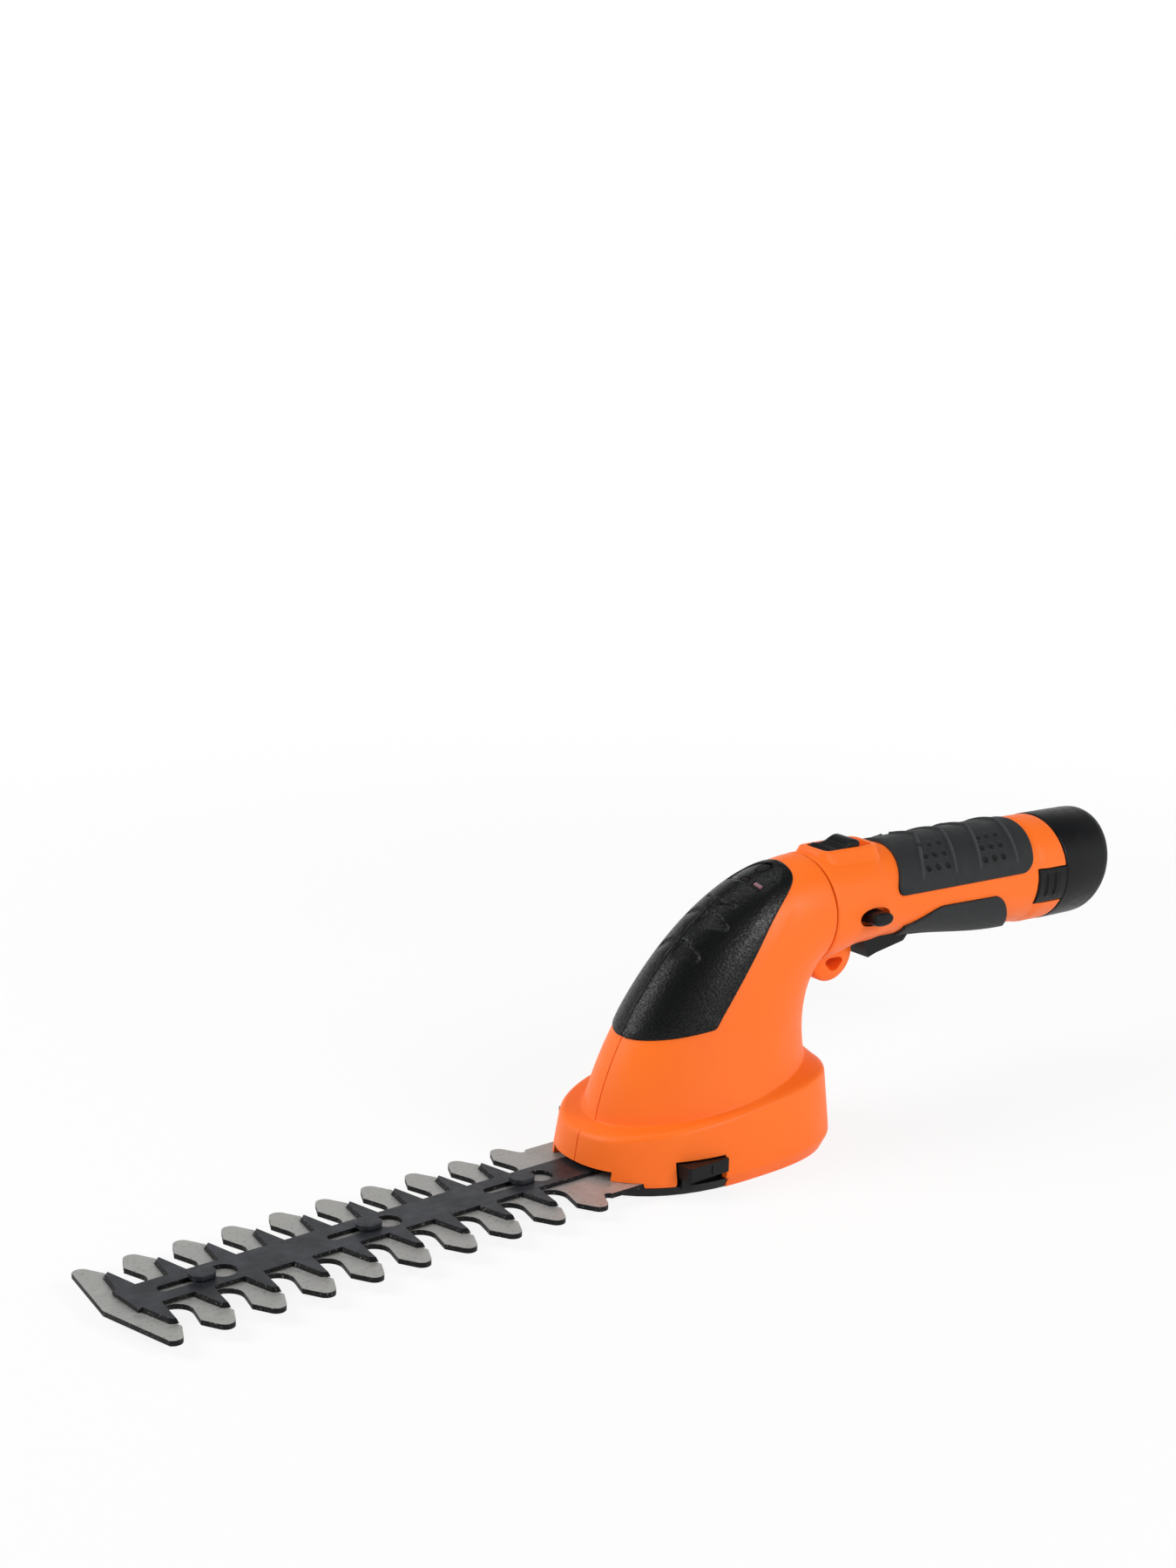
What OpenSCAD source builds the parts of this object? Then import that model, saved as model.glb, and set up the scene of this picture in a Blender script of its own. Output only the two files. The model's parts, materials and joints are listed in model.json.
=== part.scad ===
// Cordless garden shears with the double-sided shrub blade fitted.
// Millimetres. The origin is the middle of the base's underside, +Z is up,
// the blade points to -X, the handle to +X, and the left side is -Y.

/* [Shrub blade] */
// Distance from tooth to tooth
tooth_pitch = 20; // [18:0.5:24]
// Teeth on each side of the fixed lower blade
tooth_count = 10; // [6:1:12]
// Thickness of the lower blade
lower_blade_t = 2; // [1.6:0.1:2.4]
// Thickness of the upper blade
upper_blade_t = 1.6; // [1.2:0.1:2]
// Width of a lower tooth at its shoulders
tooth_w = 12.8; // [11:0.2:14]
// Distance from the centre line to a lower tooth's shoulders
shoulder_y = 25; // [23:0.5:28]
// Distance from the centre line to a lower tooth's tip
tip_y = 33.4; // [31:0.2:36]
// Radius of a lower tooth's tip
tip_r = 3.4; // [2.6:0.1:4]
// Radius of the round gullets between the lower teeth
gullet_r = 6.2; // [5:0.1:6.8]
// Distance from the centre line to a gullet's centre
gullet_y = 15; // [14:0.5:17]
// Distance from the centre line to an upper tooth's tip
upper_tip_y = 23.4; // [21:0.2:25]
// Width of an upper tooth at its root
upper_tooth_w = 9.2; // [8:0.2:10]
// Width of the flat on an upper tooth's tip
upper_tip_w = 2.8; // [2:0.1:3.6]
// Width of the upper blade's spine
spine_w = 17; // [15:0.5:19]
// Width of the ground bevel on the upper teeth
bevel_w = 0.9; // [0.4:0.1:1.2]
// Reach of the nose in front of the first tooth's centre
nose_reach = 8.8; // [7:0.2:11]
// How far the nose falls back on its way to the tips
nose_fall = 6.6; // [4:0.2:8]
// Distance from the base's front to the nearest tooth's centre
blade_lead = 11.5; // [11:0.5:16]
// Stroke of the upper blade
stroke = 10; // [8:0.5:11]
// Diameter of the guide studs' heads
stud_head_d = 9.6; // [8:0.2:10]
// Diameter of the guide studs' shanks
stud_d = 4; // [3:0.2:5]
// Distance from stud to stud
stud_pitch = 69; // [60:1:70]

/* [Base and hood] */
// Length of the base
base_l = 116; // [112:1:124]
// Width of the base
base_w = 77.6; // [76:0.4:86]
// Wall of the housing mouldings
wall = 2.5; // [2:0.1:3]
// Height of the chamfer round the base's underside
base_chamfer_h = 5.5; // [5:0.5:7]
// Width of that chamfer
base_chamfer_w = 2.5; // [2:0.5:4]
// Height of the skirt at the front
skirt_front_h = 18.7; // [18.3:0.2:21]
// Height of the skirt at the rear
skirt_rear_h = 31.5; // [29:0.5:34]
// How far the skirt leans in from the chamfer to its crease
skirt_draft = 2.4; // [1.5:0.1:3]
// Half width of the hood at its foot
hood_foot_w = 32.6; // [30:0.2:33]
// How far the black hood cover stands proud
cover_proud = 0.4; // [0.2:0.1:0.8]

/* [Handle] */
// Distance from the base's middle to the swivel joint
neck_x = 54.5; // [53:0.5:58]
// Height of the handle's axis at the swivel joint
neck_z = 88.4; // [86:0.2:94]
// Slope of the handle down to the rear, in degrees
handle_tilt = 2.4; // [0:0.2:4]
// Radius of the handle
handle_r = 22.3; // [22:0.1:23.5]
// Length of the handle from the swivel joint to the battery's rim
handle_l = 133.5; // [131:0.5:140]
// Depth of the hollow over the trigger
waist_depth = 5.5; // [4:0.5:6]
// Wall of the handle mouldings
handle_wall = 2; // [1.8:0.1:2.2]
// Thickness of the soft grips
grip_t = 1.2; // [0.8:0.1:1.6]
// How far the handle is sunk under the grips
grip_sink = 0.8; // [0.4:0.1:0.9]
// Width of the trigger
trigger_w = 24; // [20:1:24]
// Diameter of the lock-off bolt
lock_d = 9; // [7:0.5:10]
// Radius of the carrying eye under the neck
eye_r = 11.5; // [10.5:0.5:12]
// Width of the carrying eye
eye_w = 14; // [12:1:16]

/* [Battery and drive] */
// Diameter of a battery cell
cell_d = 18.2; // [17:0.1:18.4]
// Length of a battery cell
cell_l = 65; // [60:1:66]
// Length of the battery's cap behind the handle
cap_l = 26.5; // [24:0.5:30]
// Gear module
gear_module = 0.8; // [0.7:0.1:0.8]
// Teeth on the crank gear
gear_teeth = 50; // [46:1:52]
// Teeth on the motor pinion
pinion_teeth = 10; // [9:1:12]
// Diameter of the motor's can
motor_d = 27.6; // [24:0.2:28]
// Length of the motor's can
motor_l = 38; // [30:1:40]
// Diameter of the crank pin
crank_pin_d = 8; // [6:0.5:8]

/* [Hidden] */
$fn = 48;

// Clearance between moulded pieces that are fixed together
fit = 0.15;
// Clearance round pieces that move
play = 0.4;
// Radial clearance of shafts in their bushes
running = 0.05;
// Overlap of cutting tools past the faces that they cut
over = 1;

orange = "#f4742f";
black = "#2b2c2e";
rubber = "#3a3c3f";
steel = "#9a9da0";

// Blade levels and stations
carrier_t = 4;
blade_gap = 0.1;
lower_z = carrier_t;
upper_z = lower_z + lower_blade_t + blade_gap;
upper_top_z = upper_z + upper_blade_t;
base_front_x = -base_l / 2;
upper_shift = 5;
nose_x = tooth_x(tooth_count - 1) - nose_reach;
crank_x = base_front_x + 40;
tang_end_x = crank_x - stroke / 2 - 7;
tang_w = 2 * shoulder_y + 2;
function tooth_x(i) = base_front_x - blade_lead - tooth_pitch * i;

// Hood and neck curves: four control points each, in X and Z
hood_foot_front = [base_front_x + 10.5, skirt_front_h + 4.5];
hood_foot_rear = [neck_x - 2, skirt_rear_h + 4];
neck_up = [sin(handle_tilt), cos(handle_tilt)];
neck_c = [neck_x, neck_z];
neck_top = neck_c + handle_r * neck_up;
neck_low = neck_c - handle_r * neck_up;
front_curve = [hood_foot_front, hood_foot_front + [6.6, 36], [0, neck_top[1]], neck_top];
rear_curve = [hood_foot_rear, hood_foot_rear + [-0.5, 10], neck_low - [1, 8], neck_low];
hood_n = 1.92;
nose_n = 2.25;
heel_n = 2.9;

// Drive
crank_e = stroke / 2;
centre_distance = gear_module * (gear_teeth + pinion_teeth) / 2;
motor_x = crank_x + centre_distance;
gear_t = 6;
gear_z = upper_top_z + 1.8;
plate_z = gear_z + gear_t + 1.5;
plate_t = 3;
motor_z = plate_z + plate_t;
shaft_r = 1.15;
crank_shaft_r = 3;
bush_r = 5;
roller_t = 1;

// Superellipse helpers
function spow(v, e) = sign(v) * pow(abs(v), e);
function bezier(p, t) =
    pow(1 - t, 3) * p[0] + 3 * pow(1 - t, 2) * t * p[1]
    + 3 * (1 - t) * t * t * p[2] + pow(t, 3) * p[3];
function bezier_slope(p, t) =
    let (d = pow(1 - t, 2) * (p[1] - p[0]) + 2 * (1 - t) * t * (p[2] - p[1])
             + t * t * (p[3] - p[2]))
    atan2(d[1], d[0]);
function smooth(v) = let (c = max(0, min(1, v))) c * c * (3 - 2 * c);

// Plan of the base: u runs from the nose round the left side to the heel
function plan_pt(u, inset) =
    let (n = cos(u) > 0 ? nose_n : heel_n)
    [-(base_l / 2 - inset) * spow(cos(u), 2 / n), -(base_w / 2 - inset) * spow(sin(u), 2 / n)];
// Half width of the base at a station along X
function plan_half_w(x, inset) =
    let (n = x < 0 ? nose_n : heel_n, a = base_l / 2 - inset)
    (base_w / 2 - inset) * pow(1 - pow(min(1, abs(x) / a), n), 1 / n);
function crease_z(x) =
    skirt_front_h + (skirt_rear_h - skirt_front_h) * pow(max(0, x / base_l + 0.5), 0.6);
function chamfer_inset(z) = base_chamfer_w * max(0, 1 - z / base_chamfer_h);

function skirt_pt(u, inset, z) = let (p = plan_pt(u, inset)) [p[0], p[1], z];
function crease_pt(u, inset, rise) =
    let (p = plan_pt(u, inset)) [p[0], p[1], crease_z(p[0]) + rise];
function hood_half_w(t) = handle_r + (hood_foot_w - handle_r) * pow(1 - t, 2.3);
function hood_pt(u, t, inset, drop = 0) =
    let (a = bezier(front_curve, t), b = bezier(rear_curve, t),
         m = (a + b) / 2, d = (a - b) / 2, f = 1 - inset / norm(d),
         c = spow(cos(u), 2 / hood_n), s = spow(sin(u), 2 / hood_n))
    [m[0] + d[0] * f * c, -(hood_half_w(t) - inset) * s, m[1] + d[1] * f * c - drop];

// Curve position of the hood's section through a point in X and Z, found by halving
function hood_t(p, lo = 0, hi = 1, k = 24) =
    let (m = (lo + hi) / 2, a = bezier(front_curve, m), b = bezier(rear_curve, m),
         side = (b[0] - a[0]) * (p[1] - a[1]) - (b[1] - a[1]) * (p[0] - a[0]))
    k == 0 ? m : side > 0 ? hood_t(p, m, hi, k - 1) : hood_t(p, lo, m, k - 1);
// Half width of the hood at a point in X and Z
function hood_side_y(p, inset) =
    let (t = hood_t(p), a = bezier(front_curve, t), b = bezier(rear_curve, t),
         m = (a + b) / 2, d = (a - b) / 2, c = (p - m) * d / (d * d))
    (hood_half_w(t) - inset) * pow(max(0, 1 - pow(abs(c), hood_n)), 1 / hood_n);

// Section of the handle at h along its axis: u runs from the top to the underside
waist_flat_x = 45;
waist_end_x = handle_l - 23.5;
sink_x0 = 26;
sink_x1 = handle_l - 15.5;
function waist(h) =
    waist_depth * smooth(h / 24) * (1 - smooth((h - waist_flat_x) / (waist_end_x - waist_flat_x)));
function sunk(h) = grip_sink * smooth((h - sink_x0) / 8) * (1 - smooth((h - sink_x1) / 4));
function handle_pt(u, h, inset) =
    let (c = cos(u), r = handle_r - sunk(h) - inset, a = r - (c < 0 ? waist(h) : 0))
    [h, -r * sin(u), a * c];

// A wall between two grids of points with the same rows and columns
module thick_patch(outer, inner) {
    rows = len(outer);
    cols = len(outer[0]);
    half = rows * cols;
    points = concat([for (r = outer) each r], [for (r = inner) each r]);
    faces = concat(
        [for (r = [0:rows - 2], c = [0:cols - 2], k = [0, 1])
            let (q = r * cols + c)
            k == 0 ? [q, q + cols, q + 1] : [q + 1, q + cols, q + cols + 1]],
        [for (r = [0:rows - 2], c = [0:cols - 2], k = [0, 1])
            let (q = half + r * cols + c)
            k == 0 ? [q, q + 1, q + cols] : [q + 1, q + cols + 1, q + cols]],
        [for (r = [0:rows - 2], e = [0, cols - 1], k = [0, 1])
            let (q = r * cols + e, f = e == 0 ? [q, q + half, q + cols] : [q + cols, q + half, q],
                 g = e == 0 ? [q + cols, q + half, q + cols + half]
                            : [q + cols + half, q + half, q + cols])
            k == 0 ? f : g],
        [for (c = [0:cols - 2], e = [0, rows - 1], k = [0, 1])
            let (q = e * cols + c, f = e == 0 ? [q + 1, q + half, q] : [q, q + half, q + 1],
                 g = e == 0 ? [q + 1, q + half + 1, q + half]
                            : [q + half, q + half + 1, q + 1])
            k == 0 ? f : g]);
    polyhedron(points = points, faces = faces, convexity = 6);
}

// Places children in the handle's own frame: X along the axis from the swivel joint, Z up
module on_handle() {
    translate([neck_x, 0, neck_z]) rotate([0, handle_tilt, 0]) children();
}

// Places children on the top of the hood at curve position t, with Z along the outward normal
module on_hood(t) {
    p = bezier(front_curve, t);
    translate([p[0], 0, p[1]]) rotate([0, -bezier_slope(front_curve, t), 0]) children();
}

module right_half() {
    mirror([0, 1, 0]) children();
}

// A cylinder along Y from y0 to y1 at x, z
module y_cylinder(x, z, y0, y1, r) {
    translate([x, y1, z]) rotate([90, 0, 0]) cylinder(h = y1 - y0, r = r);
}

// An outline drawn in X and Z, extruded along Y from y0 to y1
module y_extrude(y0, y1) {
    translate([0, y1, 0]) rotate([90, 0, 0]) linear_extrude(y1 - y0) children();
}

// A rounded rectangle from exact arcs
module round_rect(x0, x1, y0, y1, r) {
    translate([x0 + r, y0]) square([x1 - x0 - 2 * r, y1 - y0]);
    translate([x0, y0 + r]) square([x1 - x0, y1 - y0 - 2 * r]);
    for (x = [x0 + r, x1 - r], y = [y0 + r, y1 - r]) translate([x, y]) circle(r);
}

// A slot with round ends along X
module slot(x0, x1, w) {
    translate([x0, -w / 2]) square([x1 - x0, w]);
    for (x = [x0, x1]) translate([x, 0]) circle(w / 2);
}

// A pan-head screw along +Z, with its head at the top
module screw(shank_r, shank_l, head_r, head_t) {
    translate([0, 0, -shank_l]) cylinder(h = shank_l, r = shank_r);
    difference() {
        cylinder(h = head_t, r = head_r);
        for (a = [0, 90])
            rotate(a) translate([-head_r * 0.55, -0.35, head_t * 0.45])
                cube([head_r * 1.1, 0.7, head_t]);
    }
}

// Housing of the head

// Columns and rows of the lofted shells
shell_us = [for (i = [0:24]) i * 7.5];
hood_ts = [for (i = [0:12]) i / 12];
ledge_round = 1.5;

function head_grid(inset, drop) = concat(
    [[for (u = shell_us) skirt_pt(u, base_chamfer_w + inset, 0)]],
    [[for (u = shell_us) skirt_pt(u, inset, base_chamfer_h)]],
    [[for (u = shell_us) crease_pt(u, inset + skirt_draft, -drop)]],
    [[for (u = shell_us) crease_pt(u, inset + skirt_draft + ledge_round, 0.8 * ledge_round - drop)]],
    [for (t = hood_ts) [for (u = shell_us) hood_pt(u, t, inset, t == 0 ? 0.7 * drop : 0)]]);

// Outline, in X and Z, of the region that the black cover fills
cover_front_z = hood_foot_front[1] + 32.4;
cover_corner = [base_front_x + 50, cover_front_z + 2.4];
cover_shoulder = [neck_x - 29, neck_z + 6.7];
cover_end = [neck_x - 13, neck_z + 18];
module cover_region() {
    y_extrude(-base_w / 2, base_w / 2)
        polygon([[base_front_x, cover_front_z - 3], [base_front_x + 25, cover_front_z],
                 cover_corner, cover_shoulder, cover_end, cover_end + [2, 20],
                 [base_front_x, neck_z + 40]]);
}

// Battery gauge on top of the cover
gauge_button_t = 0.872;
gauge_led_t = 0.81;
gauge_button = [9, 6];
gauge_led = [2.2, 4];
gauge_led_pitch = 6.5;
gauge_travel = 0.8;
board_depth = 6.5;
lens_depth = 5.2;
board_t = 1.2;
board_l = 22;
board_w = 17;
board_posts = [0.5, -13];

module gauge_button_outline(gap) {
    slot(-(gauge_button[0] - gauge_button[1]) / 2, (gauge_button[0] - gauge_button[1]) / 2,
         gauge_button[1] + 2 * gap);
}

module gauge_holes() {
    on_hood(gauge_button_t)
        translate([0, 0, -10]) linear_extrude(20) gauge_button_outline(play / 2);
    on_hood(gauge_led_t)
        for (i = [-1:1])
            translate([-gauge_led[0] / 2 - fit, i * gauge_led_pitch - gauge_led[1] / 2 - fit, -10])
                cube([gauge_led[0] + 2 * fit, gauge_led[1] + 2 * fit, 20]);
}

// Blade latch in the side of the base
latch_x0 = base_front_x + 24.5;
latch_l = 19.3;
latch_gap = 1;
latch_z = 7.8;
latch_h = 5.4;
latch_proud = 3;
latch_depth = 9;
latch_travel = 3;
latch_face_y = plan_half_w(latch_x0 + latch_l / 2, 0) + latch_proud;
tab_h = latch_z - play;

// Bosses that the gear plate sits on, as X and Y
plate_bosses = [[crank_x - 16, 21], [motor_x + 20, 21]];
boss_r = 4;
screw_r = 1.3;
screw_head_r = 2.4;
// Bosses for the bottom cover's screws, as X and Y
cover_bosses = [[crank_x + 12, base_w / 2 - 11.8], [base_l / 2 - 16, base_w / 2 - 18.8]];
bottom_t = 3;
bottom_front_x = crank_x + 5.5;
cover_boss_h = 9;
// Screws that hold the two halves together, as X and Z
head_screw_at = [[crank_x + 2, hood_foot_front[1] + 15.8], [motor_x + 20, neck_z - 40],
                 [neck_x - 24, neck_z - 2], [base_l / 2 - 22, 14]];
head_boss_r = 3.8;
head_screw_l = 10;
// How far a screw's boss reaches out, into the inner part of the wall
function head_boss_y(p) =
    p[1] < skirt_front_h ? plan_half_w(p[0], 0.8 * wall + skirt_draft / 2) : hood_side_y(p, 0.8 * wall);

module boss_post(p, z0, z1, reach) {
    translate([p[0], -p[1], z0]) cylinder(h = z1 - z0, r = boss_r);
    translate([p[0] - wall / 2, -reach, z0]) cube([wall, reach - p[1], z1 - z0]);
}

module head_half_body() {
    thick_patch(head_grid(0, 0), head_grid(wall, wall));
    for (p = plate_bosses)
        boss_post(p, base_chamfer_h + 3, plate_z, plan_half_w(p[0], wall / 2 + skirt_draft / 2));
    for (p = cover_bosses)
        boss_post(p, bottom_t, bottom_t + cover_boss_h,
                  plan_half_w(p[0], chamfer_inset(bottom_t) + wall / 2));
    for (p = head_screw_at)
        y_cylinder(p[0], p[1], -head_boss_y(p), 0, head_boss_r);
}

module head_half() {
    difference() {
        head_half_body();
        cover_region();
        // bay for the blade carrier, open to the front half of the underside
        translate([base_front_x - over, -base_w, -over])
            cube([bottom_front_x - fit - base_front_x + over, base_w + over, carrier_t + fit + over]);
        // mouth for the lower blade, then the taller one for the upper blade
        translate([base_front_x - over, -tang_w / 2 - play, 0])
            cube([20, tang_w / 2 + play + over, lower_z + lower_blade_t + fit]);
        translate([base_front_x - over, -spine_w, 0])
            cube([20, spine_w + over, upper_top_z + 1.8]);
        // window for the blade latch
        translate([latch_x0 - 3 * latch_gap, -base_w, -over])
            cube([latch_l + 3.5 * latch_gap, base_w - 27, latch_z + latch_h + latch_gap + over]);
        for (p = plate_bosses)
            translate([p[0], -p[1], base_chamfer_h + 4])
                cylinder(h = plate_z - base_chamfer_h - 4 + over, r = screw_r);
        for (p = cover_bosses)
            translate([p[0], -p[1], 0]) cylinder(h = cover_boss_h + 1, r = screw_r);
        // seat of the swivel collar
        on_handle() rotate([0, 90, 0]) translate([0, 0, -collar_t - fit])
            cylinder(h = collar_t + fit + over, r = collar_r + fit);
    }
}

module head_shell_left() {
    color(orange) difference() {
        head_half();
        for (p = head_screw_at)
            y_cylinder(p[0], p[1], -head_screw_l, over, screw_r);
    }
}

module head_shell_right() {
    color(orange) right_half() difference() {
        head_half();
        for (p = head_screw_at) {
            y_cylinder(p[0], p[1], -base_w, over, screw_r + fit);
            y_cylinder(p[0], p[1], -base_w, -5, screw_head_r + fit);
        }
    }
}

module cover_half() {
    ts = [for (i = [0:14]) 0.16 + 0.8 * i / 14];
    difference() {
        intersection() {
            thick_patch([for (t = ts) [for (u = shell_us) hood_pt(u, t, -cover_proud)]],
                        [for (t = ts) [for (u = shell_us) hood_pt(u, t, wall)]]);
            translate([-fit, 0, fit]) cover_region();
        }
        gauge_holes();
    }
    // posts that the gauge's board hangs from
    on_hood(gauge_button_t)
        for (x = board_posts)
            translate([x, -board_w / 2 + 2, -board_depth]) cylinder(h = board_depth - 0.9 * wall, r = 1.5);
}

module hood_cover_left() {
    color(black) cover_half();
}

module hood_cover_right() {
    color(black) right_half() cover_half();
}

// Gear plate, motor and crank

plate_x0 = plate_bosses[0][0] - 5;
plate_x1 = plate_bosses[1][0] + 5;
plate_half_w = plate_bosses[0][1] + 4.5;
bush_boss_h = 6;
spring_r = 2.5;
spring_x = latch_x0 + latch_l / 2;
spring_z = latch_z + latch_h / 2;
seat_t = 1.6;
seat_gap = 0.72;
gear_outer_r = gear_module * (gear_teeth / 2 + 0.9);
spring_seat_y = gear_outer_r + seat_gap + seat_t;

module gear_plate() {
    color(steel) difference() {
        union() {
            translate([0, 0, plate_z]) linear_extrude(plate_t)
                round_rect(plate_x0, plate_x1, -plate_half_w, plate_half_w, 6);
            translate([crank_x, 0, plate_z]) cylinder(h = plate_t + bush_boss_h, r = bush_r + 3);
            for (s = [-1, 1])
                translate([spring_x - 4, s * (spring_seat_y - seat_t / 2) - seat_t / 2, latch_z])
                    cube([8, seat_t, plate_z + over - latch_z]);
        }
        translate([crank_x, 0, plate_z - over])
            cylinder(h = plate_t + bush_boss_h + 2 * over, r = bush_r);
        translate([motor_x, 0, plate_z - over]) cylinder(h = plate_t + 2 * over, r = motor_boss_r + fit);
        for (p = plate_bosses, s = [-1, 1])
            translate([p[0], s * p[1], plate_z - over]) cylinder(h = plate_t + 2 * over, r = screw_r + fit);
    }
}

module plate_screws() {
    color(steel) for (p = plate_bosses, s = [-1, 1])
        translate([p[0], s * p[1], plate_z + plate_t]) screw(screw_r, 10, 3, 1.6);
}

motor_boss_r = 5;
bell_h = 4;

module motor_can() {
    color(steel) difference() {
        union() {
            translate([motor_x, 0, motor_z]) cylinder(h = motor_l, d = motor_d);
            translate([motor_x, 0, motor_z - plate_t + 0.5]) cylinder(h = plate_t, r = motor_boss_r);
        }
        translate([motor_x, 0, motor_z - plate_t])
            cylinder(h = motor_l + 2 * plate_t, r = shaft_r + running);
    }
}

module motor_end_bell() {
    color(black) difference() {
        union() {
            translate([motor_x, 0, motor_z + motor_l]) cylinder(h = bell_h, d = motor_d - 1);
            translate([motor_x, 0, motor_z + motor_l]) cylinder(h = bell_h + 3, r = 4);
            for (s = [-1, 1])
                translate([motor_x - 1.5, s * 9 - 0.4, motor_z + motor_l]) cube([3, 0.8, bell_h + 4]);
        }
        translate([motor_x, 0, motor_z + motor_l - over]) cylinder(h = bell_h + 6, r = shaft_r + running);
    }
}

module motor_shaft() {
    color(steel) translate([motor_x, 0, gear_z - 0.5])
        cylinder(h = motor_z + motor_l + bell_h + 2 - gear_z, r = shaft_r);
}

// A spur gear outline with straight-sided teeth, thinned for backlash
module gear_outline(teeth, thin) {
    m = gear_module;
    pitch_r = m * teeth / 2;
    half = 90 / teeth;
    polygon([for (i = [0:teeth - 1]) each
        let (a = i * 360 / teeth)
        [for (q = [[pitch_r - 1.25 * m, -1.55], [pitch_r, -1], [pitch_r + 0.9 * m, -0.45],
                   [pitch_r + 0.9 * m, 0.45], [pitch_r, 1], [pitch_r - 1.25 * m, 1.55]])
            let (b = a + q[1] * (half - thin / pitch_r * 90 / PI))
            q[0] * [cos(b), sin(b)]]]);
}

gear_thin = 0.3;

module crank_gear() {
    color("ivory") difference() {
        union() {
            translate([crank_x, 0, gear_z]) linear_extrude(gear_t) gear_outline(gear_teeth, gear_thin);
            translate([crank_x - crank_e, 0, upper_z + fit])
                cylinder(h = gear_z - upper_z - fit + over, d = crank_pin_d - 2 * roller_t);
        }
        translate([crank_x, 0, gear_z + 1.5]) cylinder(h = gear_t, r = crank_shaft_r);
    }
}

module crank_roller() {
    color(steel) translate([crank_x - crank_e, 0, upper_z + fit]) difference() {
        cylinder(h = gear_z - upper_z - 2 * fit, d = crank_pin_d);
        translate([0, 0, -over]) cylinder(h = gear_z, d = crank_pin_d - 2 * roller_t);
    }
}

module crank_shaft() {
    color(steel) translate([crank_x, 0, gear_z + 1.5])
        cylinder(h = plate_z + plate_t + bush_boss_h + 2.5 - gear_z - 1.5, r = crank_shaft_r);
}

module crank_clip() {
    color(steel) translate([crank_x, 0, plate_z + plate_t + bush_boss_h + 0.4]) difference() {
        cylinder(h = 1, r = crank_shaft_r + 2);
        translate([0, 0, -over]) cylinder(h = 3, r = crank_shaft_r);
    }
}

module crank_bush() {
    color("#b08d4f") translate([crank_x, 0, plate_z - 0.8]) difference() {
        union() {
            cylinder(h = plate_t + bush_boss_h + 0.8, r = bush_r);
            cylinder(h = 0.8, r = bush_r + 1.5);
        }
        translate([0, 0, -over]) cylinder(h = 20, r = crank_shaft_r + running);
    }
}

module motor_pinion() {
    color("#b08d4f") translate([motor_x, 0, gear_z]) difference() {
        rotate(180 + 180 / pinion_teeth) linear_extrude(gear_t) gear_outline(pinion_teeth, gear_thin);
        translate([0, 0, -over]) cylinder(h = gear_t + 2 * over, r = shaft_r);
    }
}

// Swivel joint between the head and the handle

hub_r = 14;
hub_bore_r = 10.5;
collar_r = handle_r - wall - 0.5;
collar_t = 5;
hub_front = collar_t + 3.4;
detent_w = 5;
seam_gap = 0.6;

module swivel_collar() {
    color(black) on_handle() rotate([0, 90, 0]) translate([0, 0, -collar_t]) difference() {
        cylinder(h = collar_t, r = collar_r);
        translate([0, 0, -over]) cylinder(h = collar_t + 2 * over, r = hub_r + running);
        for (a = [0, 90, 270])
            rotate(a) translate([-collar_r - over, -detent_w / 2, collar_t - 2])
                cube([3 + over, detent_w, 3]);
    }
}

module swivel_hub() {
    color(black) on_handle() rotate([0, 90, 0]) difference() {
        union() {
            translate([0, 0, -hub_front]) cylinder(h = hub_front + 9, r = hub_r);
            translate([0, 0, -hub_front]) cylinder(h = 3, r = hub_r + 3);
            translate([0, 0, seam_gap + 1]) cylinder(h = 3, r = hub_r + 1.4);
        }
        translate([0, 0, -hub_front - over]) cylinder(h = hub_front + 12, r = hub_bore_r);
    }
}

// Battery gauge

module indicator_board() {
    color("darkgreen") on_hood(gauge_button_t)
        translate([-board_l + 6, -board_w / 2, -board_depth - board_t]) cube([board_l, board_w, board_t]);
}

module led_lenses() {
    color("#c98a8a") on_hood(gauge_led_t) for (i = [-1:1])
        translate([-gauge_led[0] / 2, i * gauge_led_pitch - gauge_led[1] / 2, -lens_depth])
            cube([gauge_led[0], gauge_led[1], lens_depth + 0.2]);
}

module check_button() {
    color(black) on_hood(gauge_button_t) {
        translate([0, 0, -wall]) linear_extrude(wall + cover_proud + 0.3) gauge_button_outline(0);
        translate([0, 0, -wall - 1.9]) linear_extrude(1.2)
            slot(-2, 2, gauge_button[1] + 2.4);
        translate([0, 0, -wall - 1]) linear_extrude(1.2) gauge_button_outline(-0.5);
        translate([0, 0, -board_depth + gauge_travel + 0.2])
            cylinder(h = board_depth - gauge_travel - wall, r = 1.5);
    }
}

// Underside of the base

module plan_outline(inset) {
    polygon(concat([for (i = [0:24]) plan_pt(i * 7.5, inset)],
                   [for (i = [1:23]) let (p = plan_pt(180 - i * 7.5, inset)) [p[0], -p[1]]]));
}

module bottom_cover() {
    color(black) difference() {
        linear_extrude(bottom_t) intersection() {
            plan_outline(base_chamfer_w + wall + 2 * fit);
            translate([bottom_front_x, -base_w]) square([base_l, 2 * base_w]);
        }
        for (p = cover_bosses, s = [-1, 1])
            translate([p[0], s * p[1], -over]) {
                cylinder(h = bottom_t + 2 * over, r = screw_r + fit);
                cylinder(h = over + 1.8, r = 3.2);
            }
    }
}

module bottom_screws() {
    color(steel) for (p = cover_bosses, s = [-1, 1])
        translate([p[0], s * p[1], 1.8]) mirror([0, 0, 1]) screw(screw_r, 8, 2.9, 1.5);
}

module head_screws() {
    color(steel) for (p = head_screw_at)
        translate([p[0], 5, p[1]]) rotate([-90, 0, 0]) screw(screw_r, 13, screw_head_r, 2);
}

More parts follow.
